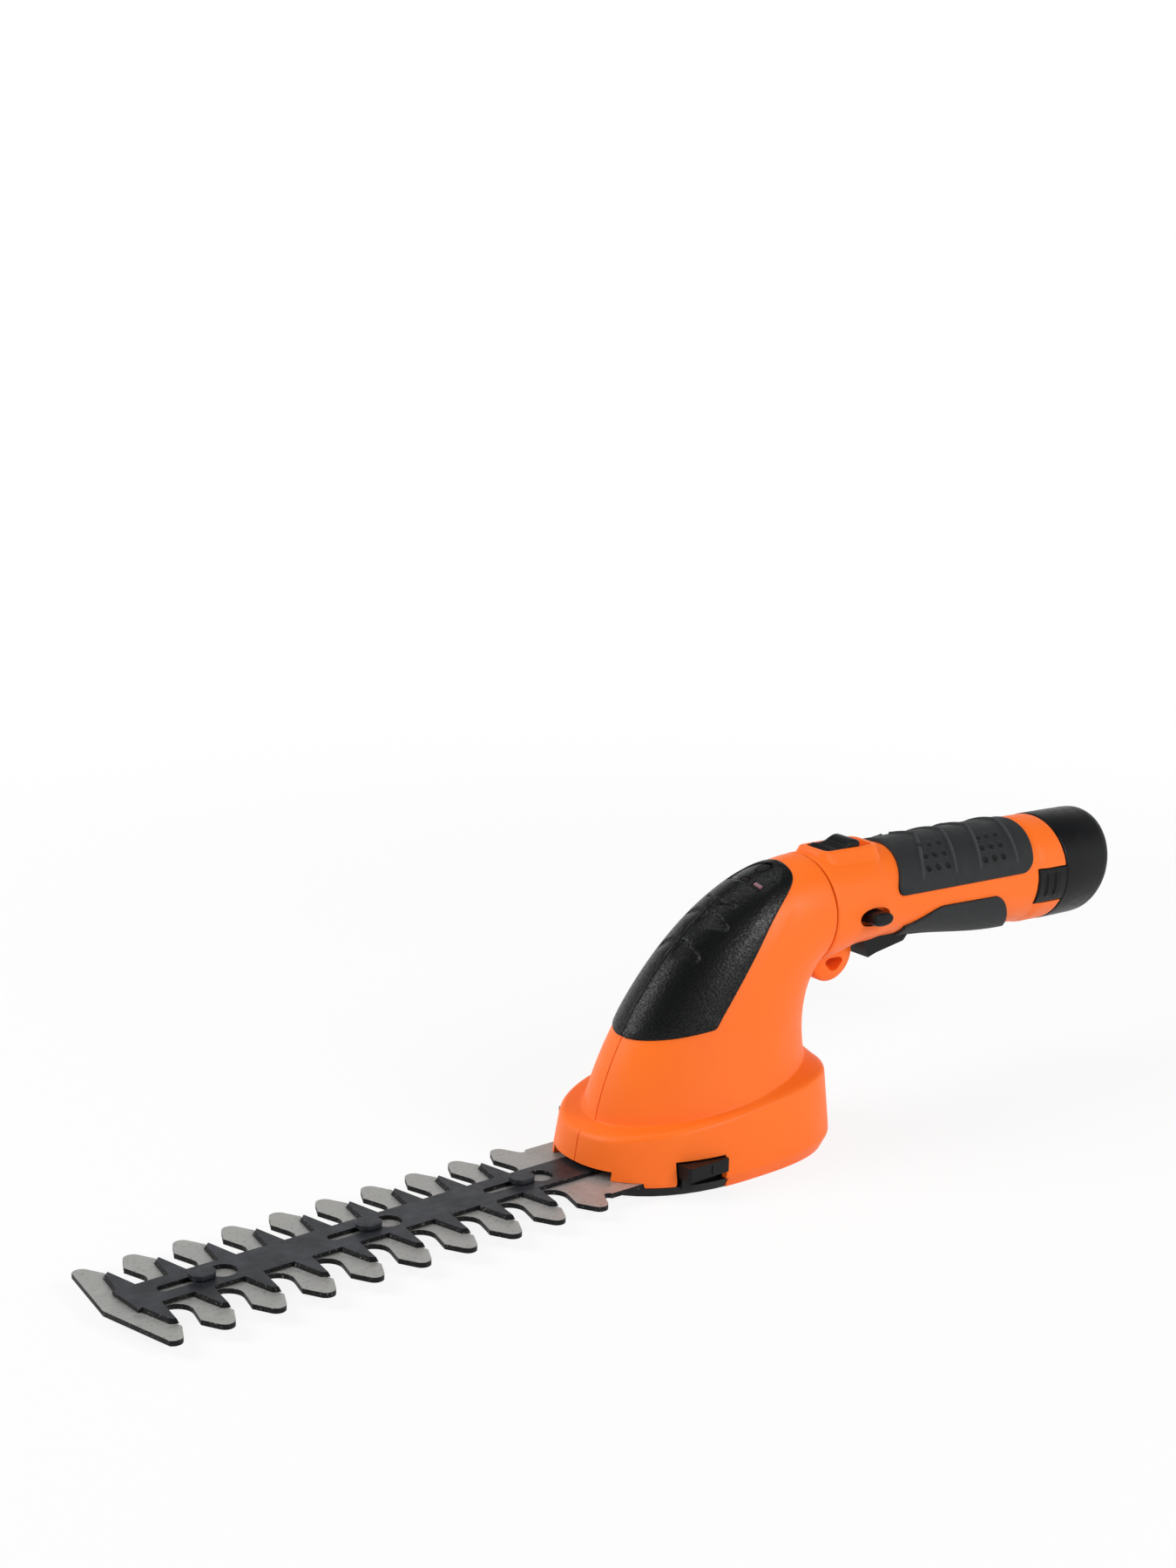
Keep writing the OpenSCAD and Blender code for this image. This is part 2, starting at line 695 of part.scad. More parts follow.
module latch_spring(s) {
    color(steel) scale_side(s)
        y_cylinder(spring_x, spring_z, -latch_face_y + latch_depth, -spring_seat_y, spring_r);
}

// Puts a left-hand piece on the side s, -1 for left and 1 for right
module scale_side(s) {
    if (s < 0) children();
    else mirror([0, 1, 0]) children();
}

module latch_spring_left() {
    latch_spring(-1);
}

module latch_spring_right() {
    latch_spring(1);
}

module blade_latch(s) {
    color(black) scale_side(s) {
        difference() {
            translate([latch_x0, -latch_face_y, latch_z]) cube([latch_l, latch_depth, latch_h]);
            // finger line on the face
            translate([latch_x0 + 0.55 * latch_l, -latch_face_y - over, latch_z + 1])
                cube([0.6, 0.4 + over, latch_h - 2]);
            // chamfer of the front edge, flush with the base's side
            translate([latch_x0, -latch_face_y, latch_z - over]) rotate(-45)
                translate([-4, -2, 0]) cube([8, 2.6, latch_h + 2 * over]);
        }
    }
}

module blade_latch_left() {
    blade_latch(-1);
}

module blade_latch_right() {
    blade_latch(1);
}

// Blade unit

studs_x = [for (i = [0:2]) tooth_x(0) - 12.5 - i * stud_pitch];
rivets = [[base_front_x + 15, 19], [base_front_x + 23, 19]];
rivet_r = 2;
carrier_rear_x = bottom_front_x - 2 * fit;
carrier_side_y = latch_face_y - latch_proud - 2.5;

module carrier_slice(z, t) {
    translate([0, 0, z]) linear_extrude(t) plan_outline(chamfer_inset(z) + fit);
}

module blade_carrier() {
    color(black) difference() {
        union() {
            intersection() {
                hull() {
                    carrier_slice(0, 0.2);
                    carrier_slice(carrier_t - 0.2, 0.2);
                }
                translate([-base_l, -base_w, -over])
                    cube([base_l + carrier_rear_x, 2 * base_w, carrier_t + 2 * over]);
            }
            // ears under the latches
            for (s = [-1, 1]) scale_side(s)
                translate([latch_x0 + 1, -carrier_side_y, carrier_t - over])
                    cube([latch_l - 2, 4, tab_h - carrier_t + over]);
        }
        for (p = rivets, s = [-1, 1])
            translate([p[0], s * p[1], -over]) {
                cylinder(h = carrier_t + 2 * over, r = rivet_r);
                cylinder(h = over + 1.5, r = rivet_r + 1.5);
            }
    }
}

module carrier_rivets() {
    color(steel) for (p = rivets, s = [-1, 1])
        translate([p[0], s * p[1], 0]) {
            translate([0, 0, 0.5]) cylinder(h = lower_z + lower_blade_t - 0.5, r = rivet_r);
            translate([0, 0, 0.5]) cylinder(h = 1, r = rivet_r + 1.5);
            translate([0, 0, lower_z + lower_blade_t]) cylinder(h = 1, r = rivet_r + 1.2);
        }
}

// Angle at which a tangent from (w, y) meets a circle of radius r centred at height c
function tangent_angle(w, y, c, r, side) =
    atan2(y - c, w) + side * acos(r / norm([w, y - c]));
// An arc in n steps
function arc(c, r, a0, a1, n) =
    [for (k = [0:n]) let (a = a0 + (a1 - a0) * k / n) c + r * [cos(a), sin(a)]];

// Half width of the web that carries the teeth, below their shoulders
web_y = shoulder_y - 4;

module lower_tooth_tip() {
    w = tooth_w / 2;
    c = tip_y - tip_r;
    a = tangent_angle(w, shoulder_y, c, tip_r, 1);
    polygon(concat([[-w, shoulder_y], [-w, web_y - over], [w, web_y - over], [w, shoulder_y]],
                   arc([0, c], tip_r, a, 180 - a, 8)));
}

module gullet() {
    mouth = (tooth_pitch - tooth_w) / 2;
    a = tangent_angle(mouth, shoulder_y, gullet_y, gullet_r, -1);
    polygon(concat([[-mouth, shoulder_y], [-mouth, shoulder_y + over], [mouth, shoulder_y + over],
                    [mouth, shoulder_y]],
                   arc([0, gullet_y], gullet_r, a, -180 - a, 16)));
}

module lower_blade_outline() {
    difference() {
        union() {
            translate([nose_x, -web_y])
                square([tooth_x(0) + tooth_w / 2 - nose_x, 2 * web_y]);
            for (i = [0:tooth_count - 1], turn = [0, 180])
                translate([tooth_x(i), 0]) rotate(turn) lower_tooth_tip();
            translate([tooth_x(0), -tang_w / 2]) square([tang_end_x - tooth_x(0), tang_w]);
        }
        for (i = [0:tooth_count - 2], turn = [0, 180])
            translate([tooth_x(i) - tooth_pitch / 2, 0]) rotate(turn) gullet();
        // notch behind the last tooth
        for (s = [-1, 1])
            translate([tooth_x(0) + tooth_w / 2 + 1.4, s * (tang_w / 2 + 0.4)]) circle(1.8);
        // slanted nose
        for (s = [0, 1]) mirror([0, s])
            polygon([[nose_x, 0], [nose_x + nose_fall, tip_y + over],
                     [nose_x - 10, tip_y + over], [nose_x - 10, 0]]);
        for (x = studs_x) translate([x, 0]) circle(d = stud_d);
        for (p = rivets, s = [-1, 1]) translate([p[0], s * p[1]]) circle(rivet_r);
    }
}

module lower_blade() {
    color("#8f9193") translate([0, 0, lower_z]) linear_extrude(lower_blade_t) lower_blade_outline();
}

module guide_studs() {
    color("#3b3d40") for (x = studs_x) translate([x, 0, lower_z]) {
        cylinder(h = lower_blade_t + blade_gap + upper_blade_t + 0.2, d = stud_d);
        translate([0, 0, -0.8]) cylinder(h = 0.8, d = stud_d + 2.4);
        // head with two wrench flats
        translate([0, 0, lower_blade_t + blade_gap + upper_blade_t + 0.2]) intersection() {
            cylinder(h = 2, d = stud_head_d);
            translate([-stud_head_d, -0.42 * stud_head_d, 0])
                cube([2 * stud_head_d, 0.84 * stud_head_d, 2]);
        }
    }
}

// One ground tooth of the upper blade on the +Y side, wider at its cutting face
module upper_tooth() {
    root_y = spine_w / 2 - 1;
    r = upper_tooth_w / 2;
    t = upper_tip_w / 2;
    low = [[-r, root_y], [r, root_y], [t, upper_tip_y], [-t, upper_tip_y - 1.6]];
    top = [[-r + bevel_w, root_y], [r - bevel_w, root_y],
           [t - 0.5 * bevel_w, upper_tip_y - bevel_w], [-t + 0.5 * bevel_w, upper_tip_y - 1.6 - bevel_w]];
    points = concat([for (p = low) [p[0], p[1], 0]], [for (p = top) [p[0], p[1], upper_blade_t]]);
    polyhedron(points = points,
               faces = [[0, 1, 2, 3], [7, 6, 5, 4], [4, 5, 1, 0], [5, 6, 2, 1],
                        [6, 7, 3, 2], [7, 4, 0, 3]]);
}

stud_slot_w = stud_d + 0.8;
key_hole_r = stud_head_d / 2 + 0.2;
key_x = 8.4;
yoke_play = 1.3;
yoke_w = crank_pin_d + 2 * yoke_play;
yoke_rim = 4;
yoke_half = crank_e + crank_pin_d / 2 + play;
yoke_x = crank_x - crank_e;
upper_nose_x = tooth_x(tooth_count - 1) + upper_shift - 5.4;

module upper_blade() {
    color("#303236") translate([0, 0, upper_z]) {
        linear_extrude(upper_blade_t) difference() {
            union() {
                translate([upper_nose_x, -spine_w / 2]) square([yoke_x - upper_nose_x, spine_w]);
                round_rect(yoke_x - yoke_w / 2 - yoke_rim, yoke_x + yoke_w / 2 + yoke_rim,
                           -yoke_half - yoke_rim, yoke_half + yoke_rim, 3);
            }
            for (x = studs_x) translate([x, 0]) {
                slot(-stroke - stud_slot_w / 2 - 2.5, key_x, stud_slot_w);
                translate([key_x, 0]) circle(key_hole_r);
            }
            // cross slot that the crank's roller drives
            round_rect(yoke_x - yoke_w / 2, yoke_x + yoke_w / 2, -yoke_half, yoke_half, 2);
        }
        for (i = [1:tooth_count - 1], s = [0, 1])
            translate([tooth_x(i) + upper_shift, 0, 0]) mirror([0, s, 0]) upper_tooth();
    }
}

// Handle

tab_x0 = handle_l - 16.5;
palm_x = 58;
handle_hs = concat([seam_gap, 8, 16, 24, 29, 34, waist_flat_x, palm_x],
                   [for (s = [0.24, 0.51, 0.78]) palm_x + (tab_x0 - palm_x) * s],
                   [tab_x0, handle_l - 11, handle_l]);
eye_c = [eye_r + 1.5, -19];
eye_top_z = -handle_r + waist_depth + 1;
eye_hole_side = 9.5;
lock_c = [22, -1];
lock_recess = [19, 12];
lock_floor_y = 16;
lock_travel = 3;
lock_proud = 5.2;
trigger_x0 = 25;
trigger_pivot = [51.5, -11];
trigger_pin_r = 1.5;
trigger_pin_reach = 1.3;
trigger_spring_z = -16.2;
trigger_slot_end = trigger_pivot[0] + 3;
bezel = [3.5, 35, 7.8];
bezel_top = handle_r + 1.4;
bezel_foot = handle_r - handle_wall - 1.6;
slider_x0 = 7.5;
slider_l = 20;
slider_w = 12;
slider_travel = 5;
slider_slot = [slider_x0 + 2, slider_x0 + 14];
slider_tongue_w = 12;
slider_tongue_t = 1.7;
slider_tongue_z = handle_r - handle_wall - 4.1;
tab_z = [-9.4, 5.4];
tab_t = 1.8;
handle_screw_at = [[14, 9], [trigger_slot_end + 3, 13]];
handle_screw_l = 8;
handle_boss_r = 3.6;
bulkhead_x = seam_gap + 4.1;
bulkhead_t = 2.5;
slider_spring_x1 = slider_slot[1] + 12;
switch_x0 = lock_c[0] + lock_d / 2 + 3;
switch_l = 20;
switch_z = [-2, 9];
switch_half_w = 7;

// Half width of the handle at h and z
function handle_half_w(h, z, inset) =
    let (r = handle_r - sunk(h) - inset, a = r - (z < 0 ? waist(h) : 0))
    r * sqrt(max(0.01, 1 - pow(z / a, 2)));

// Triangular opening of the carrying eye, with round corners
module eye_opening() {
    r = 1.5;
    c = eye_hole_side / sqrt(3) - 2 * r + 1;
    translate([eye_c[0] + 1.5, eye_c[1] - 4])
        polygon([for (a = [-90, 30, 150]) each arc(c * [cos(a), sin(a)], r, a - 60, a + 60, 6)]);
}

module handle_half_body() {
    thick_patch([for (h = handle_hs) [for (u = shell_us) handle_pt(u, h, 0)]],
                [for (h = handle_hs) [for (u = shell_us) handle_pt(u, h, handle_wall)]]);
    // carrying eye
    y_extrude(-eye_w / 2, 0) intersection() {
        translate(eye_c) circle(eye_r);
        translate([seam_gap, -60]) square([60, 60 + eye_top_z]);
    }
    // bezel of the swivel slider
    intersection() {
        translate([0, 0, bezel_foot]) linear_extrude(bezel_top - bezel_foot)
            round_rect(bezel[0], bezel[1], -bezel[2], bezel[2], 4);
        translate([0, -bezel[2] - over, 0]) cube([60, bezel[2] + over, 60]);
    }
    // floor of the lock-off recess
    y_extrude(-lock_floor_y - 4.5, -lock_floor_y)
        translate([lock_c[0], lock_c[1]]) round_rect(-12, 12, -9, 9, 4);
    for (p = handle_screw_at)
        y_cylinder(p[0], p[1], -handle_half_w(p[0], p[1] + sign(p[1]) * handle_boss_r, handle_wall / 2),
                   0, handle_boss_r);
    // ribs that hold the switch, and the seat behind the slider's spring
    for (x = [switch_x0 + 2, switch_x0 + switch_l - 4]) {
        reach = handle_half_w(x, switch_z[1] - 1, handle_wall / 2);
        translate([x, -reach, switch_z[0] + 1])
            cube([1.6, reach - switch_half_w, switch_z[1] - switch_z[0] - 2]);
    }
    translate([slider_spring_x1, -3, slider_tongue_z - 1])
        cube([1.6, 3, handle_r - handle_wall / 2 - grip_sink - slider_tongue_z + 1]);
    // bulkhead that holds the swivel hub
    intersection() {
        translate([bulkhead_x, 0, 0]) rotate([0, 90, 0]) difference() {
            cylinder(h = bulkhead_t, r = handle_r - handle_wall * 0.7);
            translate([0, 0, -over]) cylinder(h = bulkhead_t + 2 * over, r = hub_r);
        }
        translate([0, -handle_r - over, -handle_r - over])
            cube([20, handle_r + over, 2 * handle_r + 2 * over]);
    }
}

module lock_recess_outline() {
    translate([lock_c[0], lock_c[1]])
        slot(-(lock_recess[0] - lock_recess[1]) / 2, (lock_recess[0] - lock_recess[1]) / 2, lock_recess[1]);
}

module handle_half() {
    difference() {
        handle_half_body();
        // slot for the trigger
        translate([trigger_x0 - 1.5, -trigger_w / 2 - play, -40])
            cube([trigger_slot_end - trigger_x0 + 1.5, trigger_w / 2 + play + over,
                  40 + trigger_pivot[1] + 3]);
        y_cylinder(trigger_pivot[0], trigger_pivot[1], -trigger_w / 2 - trigger_pin_reach - fit, over,
                   trigger_pin_r);
        // lock-off recess and bore
        y_extrude(-handle_r - over, -lock_floor_y - 2) lock_recess_outline();
        y_cylinder(lock_c[0], lock_c[1], -handle_r - over, over, lock_d / 2 + running);
        // well and slot of the swivel slider
        translate([slider_x0 - play, -slider_w / 2 - play, handle_r - 0.3])
            cube([slider_l + slider_travel + 2 * play, slider_w + 2 * play, 20]);
        translate([slider_slot[0] - play, -3.5 - play, handle_r - handle_wall - 8])
            cube([slider_slot[1] - slider_slot[0] + slider_travel + 2 * play, 7 + 2 * play, 20]);
        // notch for the battery's latch
        translate([tab_x0 - play, -handle_r - over, tab_z[0] - play])
            cube([handle_l - tab_x0 + play + over, 10, tab_z[1] - tab_z[0] + 2 * play]);
        // way for the slider's tongue through the bulkhead
        translate([0, -slider_tongue_w / 2 - play, slider_tongue_z - play])
            cube([20, slider_tongue_w / 2 + play + over, slider_tongue_t + 2 * play]);
        y_extrude(-eye_w, over) eye_opening();
    }
}

module handle_shell_left() {
    color(orange) on_handle() difference() {
        handle_half();
        for (p = handle_screw_at) y_cylinder(p[0], p[1], -handle_screw_l, over, screw_r);
    }
}

module handle_shell_right() {
    color(orange) right_half() on_handle() difference() {
        handle_half();
        for (p = handle_screw_at) {
            y_cylinder(p[0], p[1], -handle_r - 5, over, screw_r + fit);
            y_cylinder(p[0], p[1], -handle_r - 5, -5, screw_head_r + fit);
        }
    }
}

module handle_screws() {
    color(steel) on_handle() for (p = handle_screw_at)
        translate([p[0], 5, p[1]]) rotate([-90, 0, 0]) screw(screw_r, 11, screw_head_r, 2);
}

// Soft saddle over the top of the handle
grip_angle = 76;
grip_front = 41.7;
grip_front_sweep = 9;
grip_rear = handle_l - 15;
grip_rear_sweep = 6.5;

function grip_h(v, a) =
    let (q = pow(a / grip_angle, 2), f = grip_front - grip_front_sweep * q,
         r = grip_rear - grip_rear_sweep * q)
    f + (r - f) * v;
function grip_pt(v, a, lift) =
    let (h = grip_h(v, a), r = handle_r - sunk(h) + lift) [h, -r * sin(a), r * cos(a)];

module top_grip() {
    vs = [for (i = [0:10]) i / 10];
    as = [for (i = [-12:12]) grip_angle * i / 12];
    color(rubber) on_handle()
        thick_patch([for (v = vs) [for (a = as) grip_pt(v, a, fit + grip_t)]],
                    [for (v = vs) [for (a = as) grip_pt(v, a, fit)]]);
}

// Grained insert under the handle, with a wing on each side of the trigger
insert_front = trigger_slot_end + 1;
insert_rear = handle_l - 22.5;
insert_taper_x = handle_l - 43.5;
wing_front = insert_front - 14;
wing_angle = 143;
function insert_edge(h) =
    96 + 26 * (1 - smooth((h - wing_front + 3) / 23)) + 62 * pow(smooth((h - insert_taper_x) / 24), 1.2);
function side_pt(u, h, lift) =
    let (p = handle_pt(u > 180 ? 360 - u : u, h, -lift)) [p[0], u > 180 ? -p[1] : p[1], p[2]];
function insert_pt(h, k, u1, lift) =
    let (e = insert_edge(h)) side_pt(e + (u1 - e) * k, h, lift);

module insert_patch(h0, h1, rows, u1) {
    hs = [for (i = [0:rows]) h0 + (h1 - h0) * i / rows];
    thick_patch([for (h = hs) [for (k = [0:10]) insert_pt(h, k / 10, u1, fit + grip_t)]],
                [for (h = hs) [for (k = [0:10]) insert_pt(h, k / 10, u1, fit)]]);
}

module lower_grip() {
    color(rubber) on_handle() for (s = [-1, 1]) scale_side(s) {
        insert_patch(insert_front, insert_rear, 14, 180);
        insert_patch(wing_front, insert_front, 5, wing_angle);
    }
}

// Trigger and switch

module trigger() {
    color(black) on_handle() difference() {
        y_extrude(-trigger_w / 2, trigger_w / 2) {
            polygon([[trigger_x0, -11.5], [trigger_x0 + 0.5, -14], [trigger_x0 + 4, -21.4],
                     [trigger_x0 + 8.5, -20], [trigger_pivot[0] - 3, -17.2],
                     [trigger_pivot[0], -14], trigger_pivot, [trigger_pivot[0] - 4, -9]]);
            translate(trigger_pivot) circle(2.9);
        }
        y_cylinder(trigger_pivot[0], trigger_pivot[1], -trigger_w, trigger_w, trigger_pin_r + running);
        // hollow behind the finger face
        y_extrude(-trigger_w / 2 + 2, trigger_w / 2 - 2)
            polygon([[trigger_x0 + 2.5, -9], [trigger_x0 + 5, -18.5], [trigger_x0 + 9, -17.6],
                     [trigger_pivot[0] - 8, -14.5], [trigger_pivot[0] - 8, -8]]);
    }
}

module trigger_pin() {
    color(steel) on_handle()
        y_cylinder(trigger_pivot[0], trigger_pivot[1], -trigger_w / 2 - trigger_pin_reach,
                   trigger_w / 2 + trigger_pin_reach, trigger_pin_r);
}

plunger_r = 2;

module switch_body() {
    color("#20242a") on_handle() difference() {
        y_extrude(-switch_half_w, switch_half_w)
            round_rect(switch_x0, switch_x0 + switch_l, switch_z[0], switch_z[1], 1);
        translate([switch_x0 + 6, 0, switch_z[0] - over]) cylinder(h = 5, r = plunger_r + 0.1);
    }
}

module switch_plunger() {
    color("#c0392b") on_handle() translate([switch_x0 + 6, 0, switch_z[0] - 1.5])
        cylinder(h = 5, r = plunger_r);
}

module trigger_spring() {
    color(steel) on_handle() translate([switch_x0 + 6, 0, trigger_spring_z])
        cylinder(h = switch_z[0] - 1.7 - trigger_spring_z, r = 2.2);
}

module lock_bolt() {
    color(black) on_handle()
        y_cylinder(lock_c[0], lock_c[1], -handle_r - lock_proud, handle_r + lock_proud, lock_d / 2);
}

// Slider that frees the swivel joint, with a thumb scoop and a raised heel

module swivel_slider() {
    z0 = handle_r;
    color(black) on_handle() {
        difference() {
            y_extrude(-slider_w / 2, slider_w / 2)
                polygon([[slider_x0, z0], [slider_x0, z0 + 1.6], [slider_x0 + 1.5, z0 + 2.4],
                         [slider_x0 + 6, z0 + 2], [slider_x0 + 10, z0 + 2.4],
                         [slider_x0 + 13, z0 + 3.6], [slider_x0 + 15.5, z0 + 4],
                         [slider_x0 + 17.5, z0 + 3.6], [slider_x0 + slider_l, z0 + 1.8],
                         [slider_x0 + slider_l, z0]]);
            // grip grooves across the scoop
            for (i = [0:3])
                translate([slider_x0 + 3.4 + 2.2 * i, -slider_w / 2 + 1.6, z0 + 1.5])
                    cube([0.9, slider_w - 3.2, 3]);
        }
        translate([slider_slot[0], -3.5, slider_tongue_z + slider_tongue_t - 0.2])
            cube([slider_slot[1] - slider_slot[0], 7, handle_r - slider_tongue_z - slider_tongue_t + 0.7]);
        translate([2 * seam_gap, -slider_tongue_w / 2, slider_tongue_z])
            cube([slider_slot[1] - 2 * seam_gap, slider_tongue_w, slider_tongue_t]);
    }
}

module slider_spring() {
    color(steel) on_handle()
        translate([slider_slot[1], 0, slider_tongue_z + 0.8]) rotate([0, 90, 0])
            cylinder(h = slider_spring_x1 - slider_slot[1], r = 1.1);
}

// Terminals and battery

stem_wall = 0.7;
stem_half_h = cell_d / 2 + stem_wall;
stem_half_w = cell_d + stem_wall;
stem_x1 = handle_l + 1;
stem_x0 = stem_x1 - cell_l - 8;
terminal_x0 = stem_x0 - 10;
blade_y = 8;

module stem_outline(gap) {
    slot(-cell_d / 2, cell_d / 2, 2 * (stem_half_h + gap));
}

// Outline drawn in Y and Z, extruded along the handle from x0 to x1
module along_handle(x0, x1) {
    translate([x0, 0, 0]) rotate([90, 0, 90]) linear_extrude(x1 - x0) children();
}

module terminal_block() {
    color("#20242a") on_handle() difference() {
        along_handle(terminal_x0, terminal_x0 + 9) round_rect(-17.5, 17.5, -8, 9, 3);
        for (s = [-1, 1])
            translate([terminal_x0 - over, s * blade_y - 0.5, -4]) cube([12, 1, 8]);
    }
}

module terminal_blades() {
    color("#c9a24a") on_handle() for (s = [-1, 1])
        translate([terminal_x0 - 3, s * blade_y - 0.5, -4]) cube([18, 1, 8]);
}

module battery_stem() {
    color(black) on_handle() difference() {
        along_handle(stem_x0, stem_x1) stem_outline(0);
        along_handle(stem_x1 - cell_l - 4, stem_x1 + over) stem_outline(-stem_wall);
        for (s = [-1, 1])
            translate([stem_x0 - over, s * blade_y - 1.4, -5]) cube([4 + over, 2.8, 10]);
    }
}

module battery_cells() {
    color("#2f6fa8") on_handle() for (s = [-1, 1])
        translate([stem_x1 - cell_l - 1.5, s * cell_d / 2, 0]) rotate([0, 90, 0]) {
            cylinder(h = cell_l, d = cell_d - 0.2);
            translate([0, 0, -0.8]) cylinder(h = 0.8, r = 2.6);
        }
}

module battery_contacts() {
    color("#c9a24a") on_handle() for (s = [-1, 1], k = [-1, 1])
        translate([stem_x1 - cell_l - 4, s * blade_y + k * 1.6 - 0.3, -3.5]) cube([1.6, 0.6, 7]);
}

module battery_board() {
    color("darkgreen") on_handle() along_handle(stem_x1 - 1.4, stem_x1 - 0.2)
        stem_outline(-stem_wall - 0.3);
}

// Slanted, domed cap behind the handle
cap_slant = 12;
cap_rows = [[0, 0], [0.55, 0.2], [0.84, 0.9], [0.95, 2.4], [1, 5.2]];
cap_floor = 3;
function cap_pt(u, row) =
    let (r = handle_r + 0.2 - row[1], z = r * cos(u),
         end = handle_l + cap_l + tan(cap_slant) * z)
    [handle_l + 0.3 + (end - handle_l - 0.3) * row[0], -r * sin(u), z];

module cap_solid() {
    n = 48;
    rings = [for (row = cap_rows) [for (i = [0:n - 1]) cap_pt(i * 360 / n, row)]];
    last = len(rings) - 1;
    polyhedron(points = [for (r = rings) each r], convexity = 4,
               faces = concat([[for (i = [0:n - 1]) i]],
                              [for (r = [0:last - 1], i = [0:n - 1], k = [0, 1])
                                  let (a = r * n + i, b = r * n + (i + 1) % n)
                                  k == 0 ? [a, a + n, b] : [b, a + n, b + n]],
                              [[for (i = [0:n - 1]) last * n + n - 1 - i]]));
}

module battery_cap() {
    color(black) on_handle() difference() {
        cap_solid();
        along_handle(handle_l - over, handle_l + 3) stem_outline(fit);
        along_handle(handle_l + cap_floor, handle_l + cap_l - 8) circle(handle_r - 3);
    }
}

module battery_latch(s) {
    color(black) on_handle() scale_side(s) difference() {
        intersection() {
            rotate([0, 90, 0]) difference() {
                cylinder(h = handle_l + 2, r = handle_r);
                translate([0, 0, -over]) cylinder(h = handle_l + 10, r = handle_r - tab_t);
            }
            translate([tab_x0, -handle_r - over, tab_z[0]])
                cube([handle_l + 0.1 - tab_x0, 12, tab_z[1] - tab_z[0]]);
        }
        // finger grooves
        for (i = [0:2])
            translate([tab_x0 + 5 + 3 * i, -handle_r - over, tab_z[0] + 3])
                cube([1.2, over + 0.9, tab_z[1] - tab_z[0] - 5]);
    }
}

module battery_latch_left() {
    battery_latch(-1);
}

module battery_latch_right() {
    battery_latch(1);
}

head_shell_left();
head_shell_right();
hood_cover_left();
hood_cover_right();
gear_plate();
plate_screws();
motor_can();
motor_end_bell();
crank_bush();
swivel_collar();
indicator_board();
led_lenses();
bottom_cover();
bottom_screws();
head_screws();
latch_spring_left();
latch_spring_right();
check_button();
blade_latch_left();
blade_latch_right();
crank_gear();
crank_shaft();
crank_clip();
crank_roller();
motor_shaft();
motor_pinion();
blade_carrier();
lower_blade();
guide_studs();
carrier_rivets();
upper_blade();
handle_shell_left();
handle_shell_right();
top_grip();
lower_grip();
swivel_hub();
handle_screws();
switch_body();
switch_plunger();
terminal_block();
terminal_blades();
trigger_pin();
trigger_spring();
trigger();
lock_bolt();
swivel_slider();
slider_spring();
battery_cap();
battery_stem();
battery_cells();
battery_contacts();
battery_board();
battery_latch_left();
battery_latch_right();
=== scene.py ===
import bpy
import bmesh
import json
from math import sin, cos, tan, asin, acos, atan2, radians, degrees, pi, sqrt, hypot
from mathutils import Vector, Matrix


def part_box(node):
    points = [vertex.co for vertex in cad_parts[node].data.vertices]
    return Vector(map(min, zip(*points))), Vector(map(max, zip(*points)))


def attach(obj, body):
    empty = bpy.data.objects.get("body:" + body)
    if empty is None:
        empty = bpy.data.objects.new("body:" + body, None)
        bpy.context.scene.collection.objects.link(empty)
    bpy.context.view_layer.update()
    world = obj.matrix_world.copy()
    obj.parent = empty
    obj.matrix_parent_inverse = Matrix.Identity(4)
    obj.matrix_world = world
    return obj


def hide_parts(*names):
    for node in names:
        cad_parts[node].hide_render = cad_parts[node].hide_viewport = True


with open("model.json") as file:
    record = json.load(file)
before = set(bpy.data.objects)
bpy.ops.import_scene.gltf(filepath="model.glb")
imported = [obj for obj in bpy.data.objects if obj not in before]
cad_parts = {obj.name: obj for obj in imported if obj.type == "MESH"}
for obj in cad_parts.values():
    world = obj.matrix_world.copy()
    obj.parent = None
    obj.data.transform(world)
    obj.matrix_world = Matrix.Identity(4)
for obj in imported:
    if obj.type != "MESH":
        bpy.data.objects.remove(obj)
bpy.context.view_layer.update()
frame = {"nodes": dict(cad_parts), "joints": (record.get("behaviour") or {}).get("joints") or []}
scene = bpy.context.scene
nodes = frame["nodes"]
joints = {j["name"]: j for j in frame["joints"]}
mm = 0.001  # shapes are worked out in millimetres, meshes are in metres
sides = (("left", -1), ("right", 1))  # each half and the sign of its Y


def addObject(name, data):
    thing = bpy.data.objects.new(name, data)
    scene.collection.objects.link(thing)
    return thing


# camera and light

cameraSetup = dict(place=(-678.8, -753.1, 417.5), azimuth=-39.67, elevation=14.98, roll=-1.25,
                   lens=64.06, sensor=36, nearest=0.05)


def setCamera():
    f = cameraSetup
    az, el, roll = (radians(f[k]) for k in ("azimuth", "elevation", "roll"))
    back = Vector((sin(az) * cos(el), -cos(az) * cos(el), sin(el)))
    right = Vector((cos(az), sin(az), 0))
    up = back.cross(right)
    tiltedRight = right * cos(roll) - up * sin(roll)
    tiltedUp = right * sin(roll) + up * cos(roll)
    data = bpy.data.cameras.new("photoCamera")
    data.lens, data.sensor_width, data.clip_start = f["lens"], f["sensor"], f["nearest"]
    camera = addObject("photoCamera", data)
    turn = Matrix((tiltedRight, tiltedUp, back)).transposed().to_4x4()
    camera.matrix_world = Matrix.Translation(Vector(f["place"]) * mm) @ turn
    scene.camera = camera


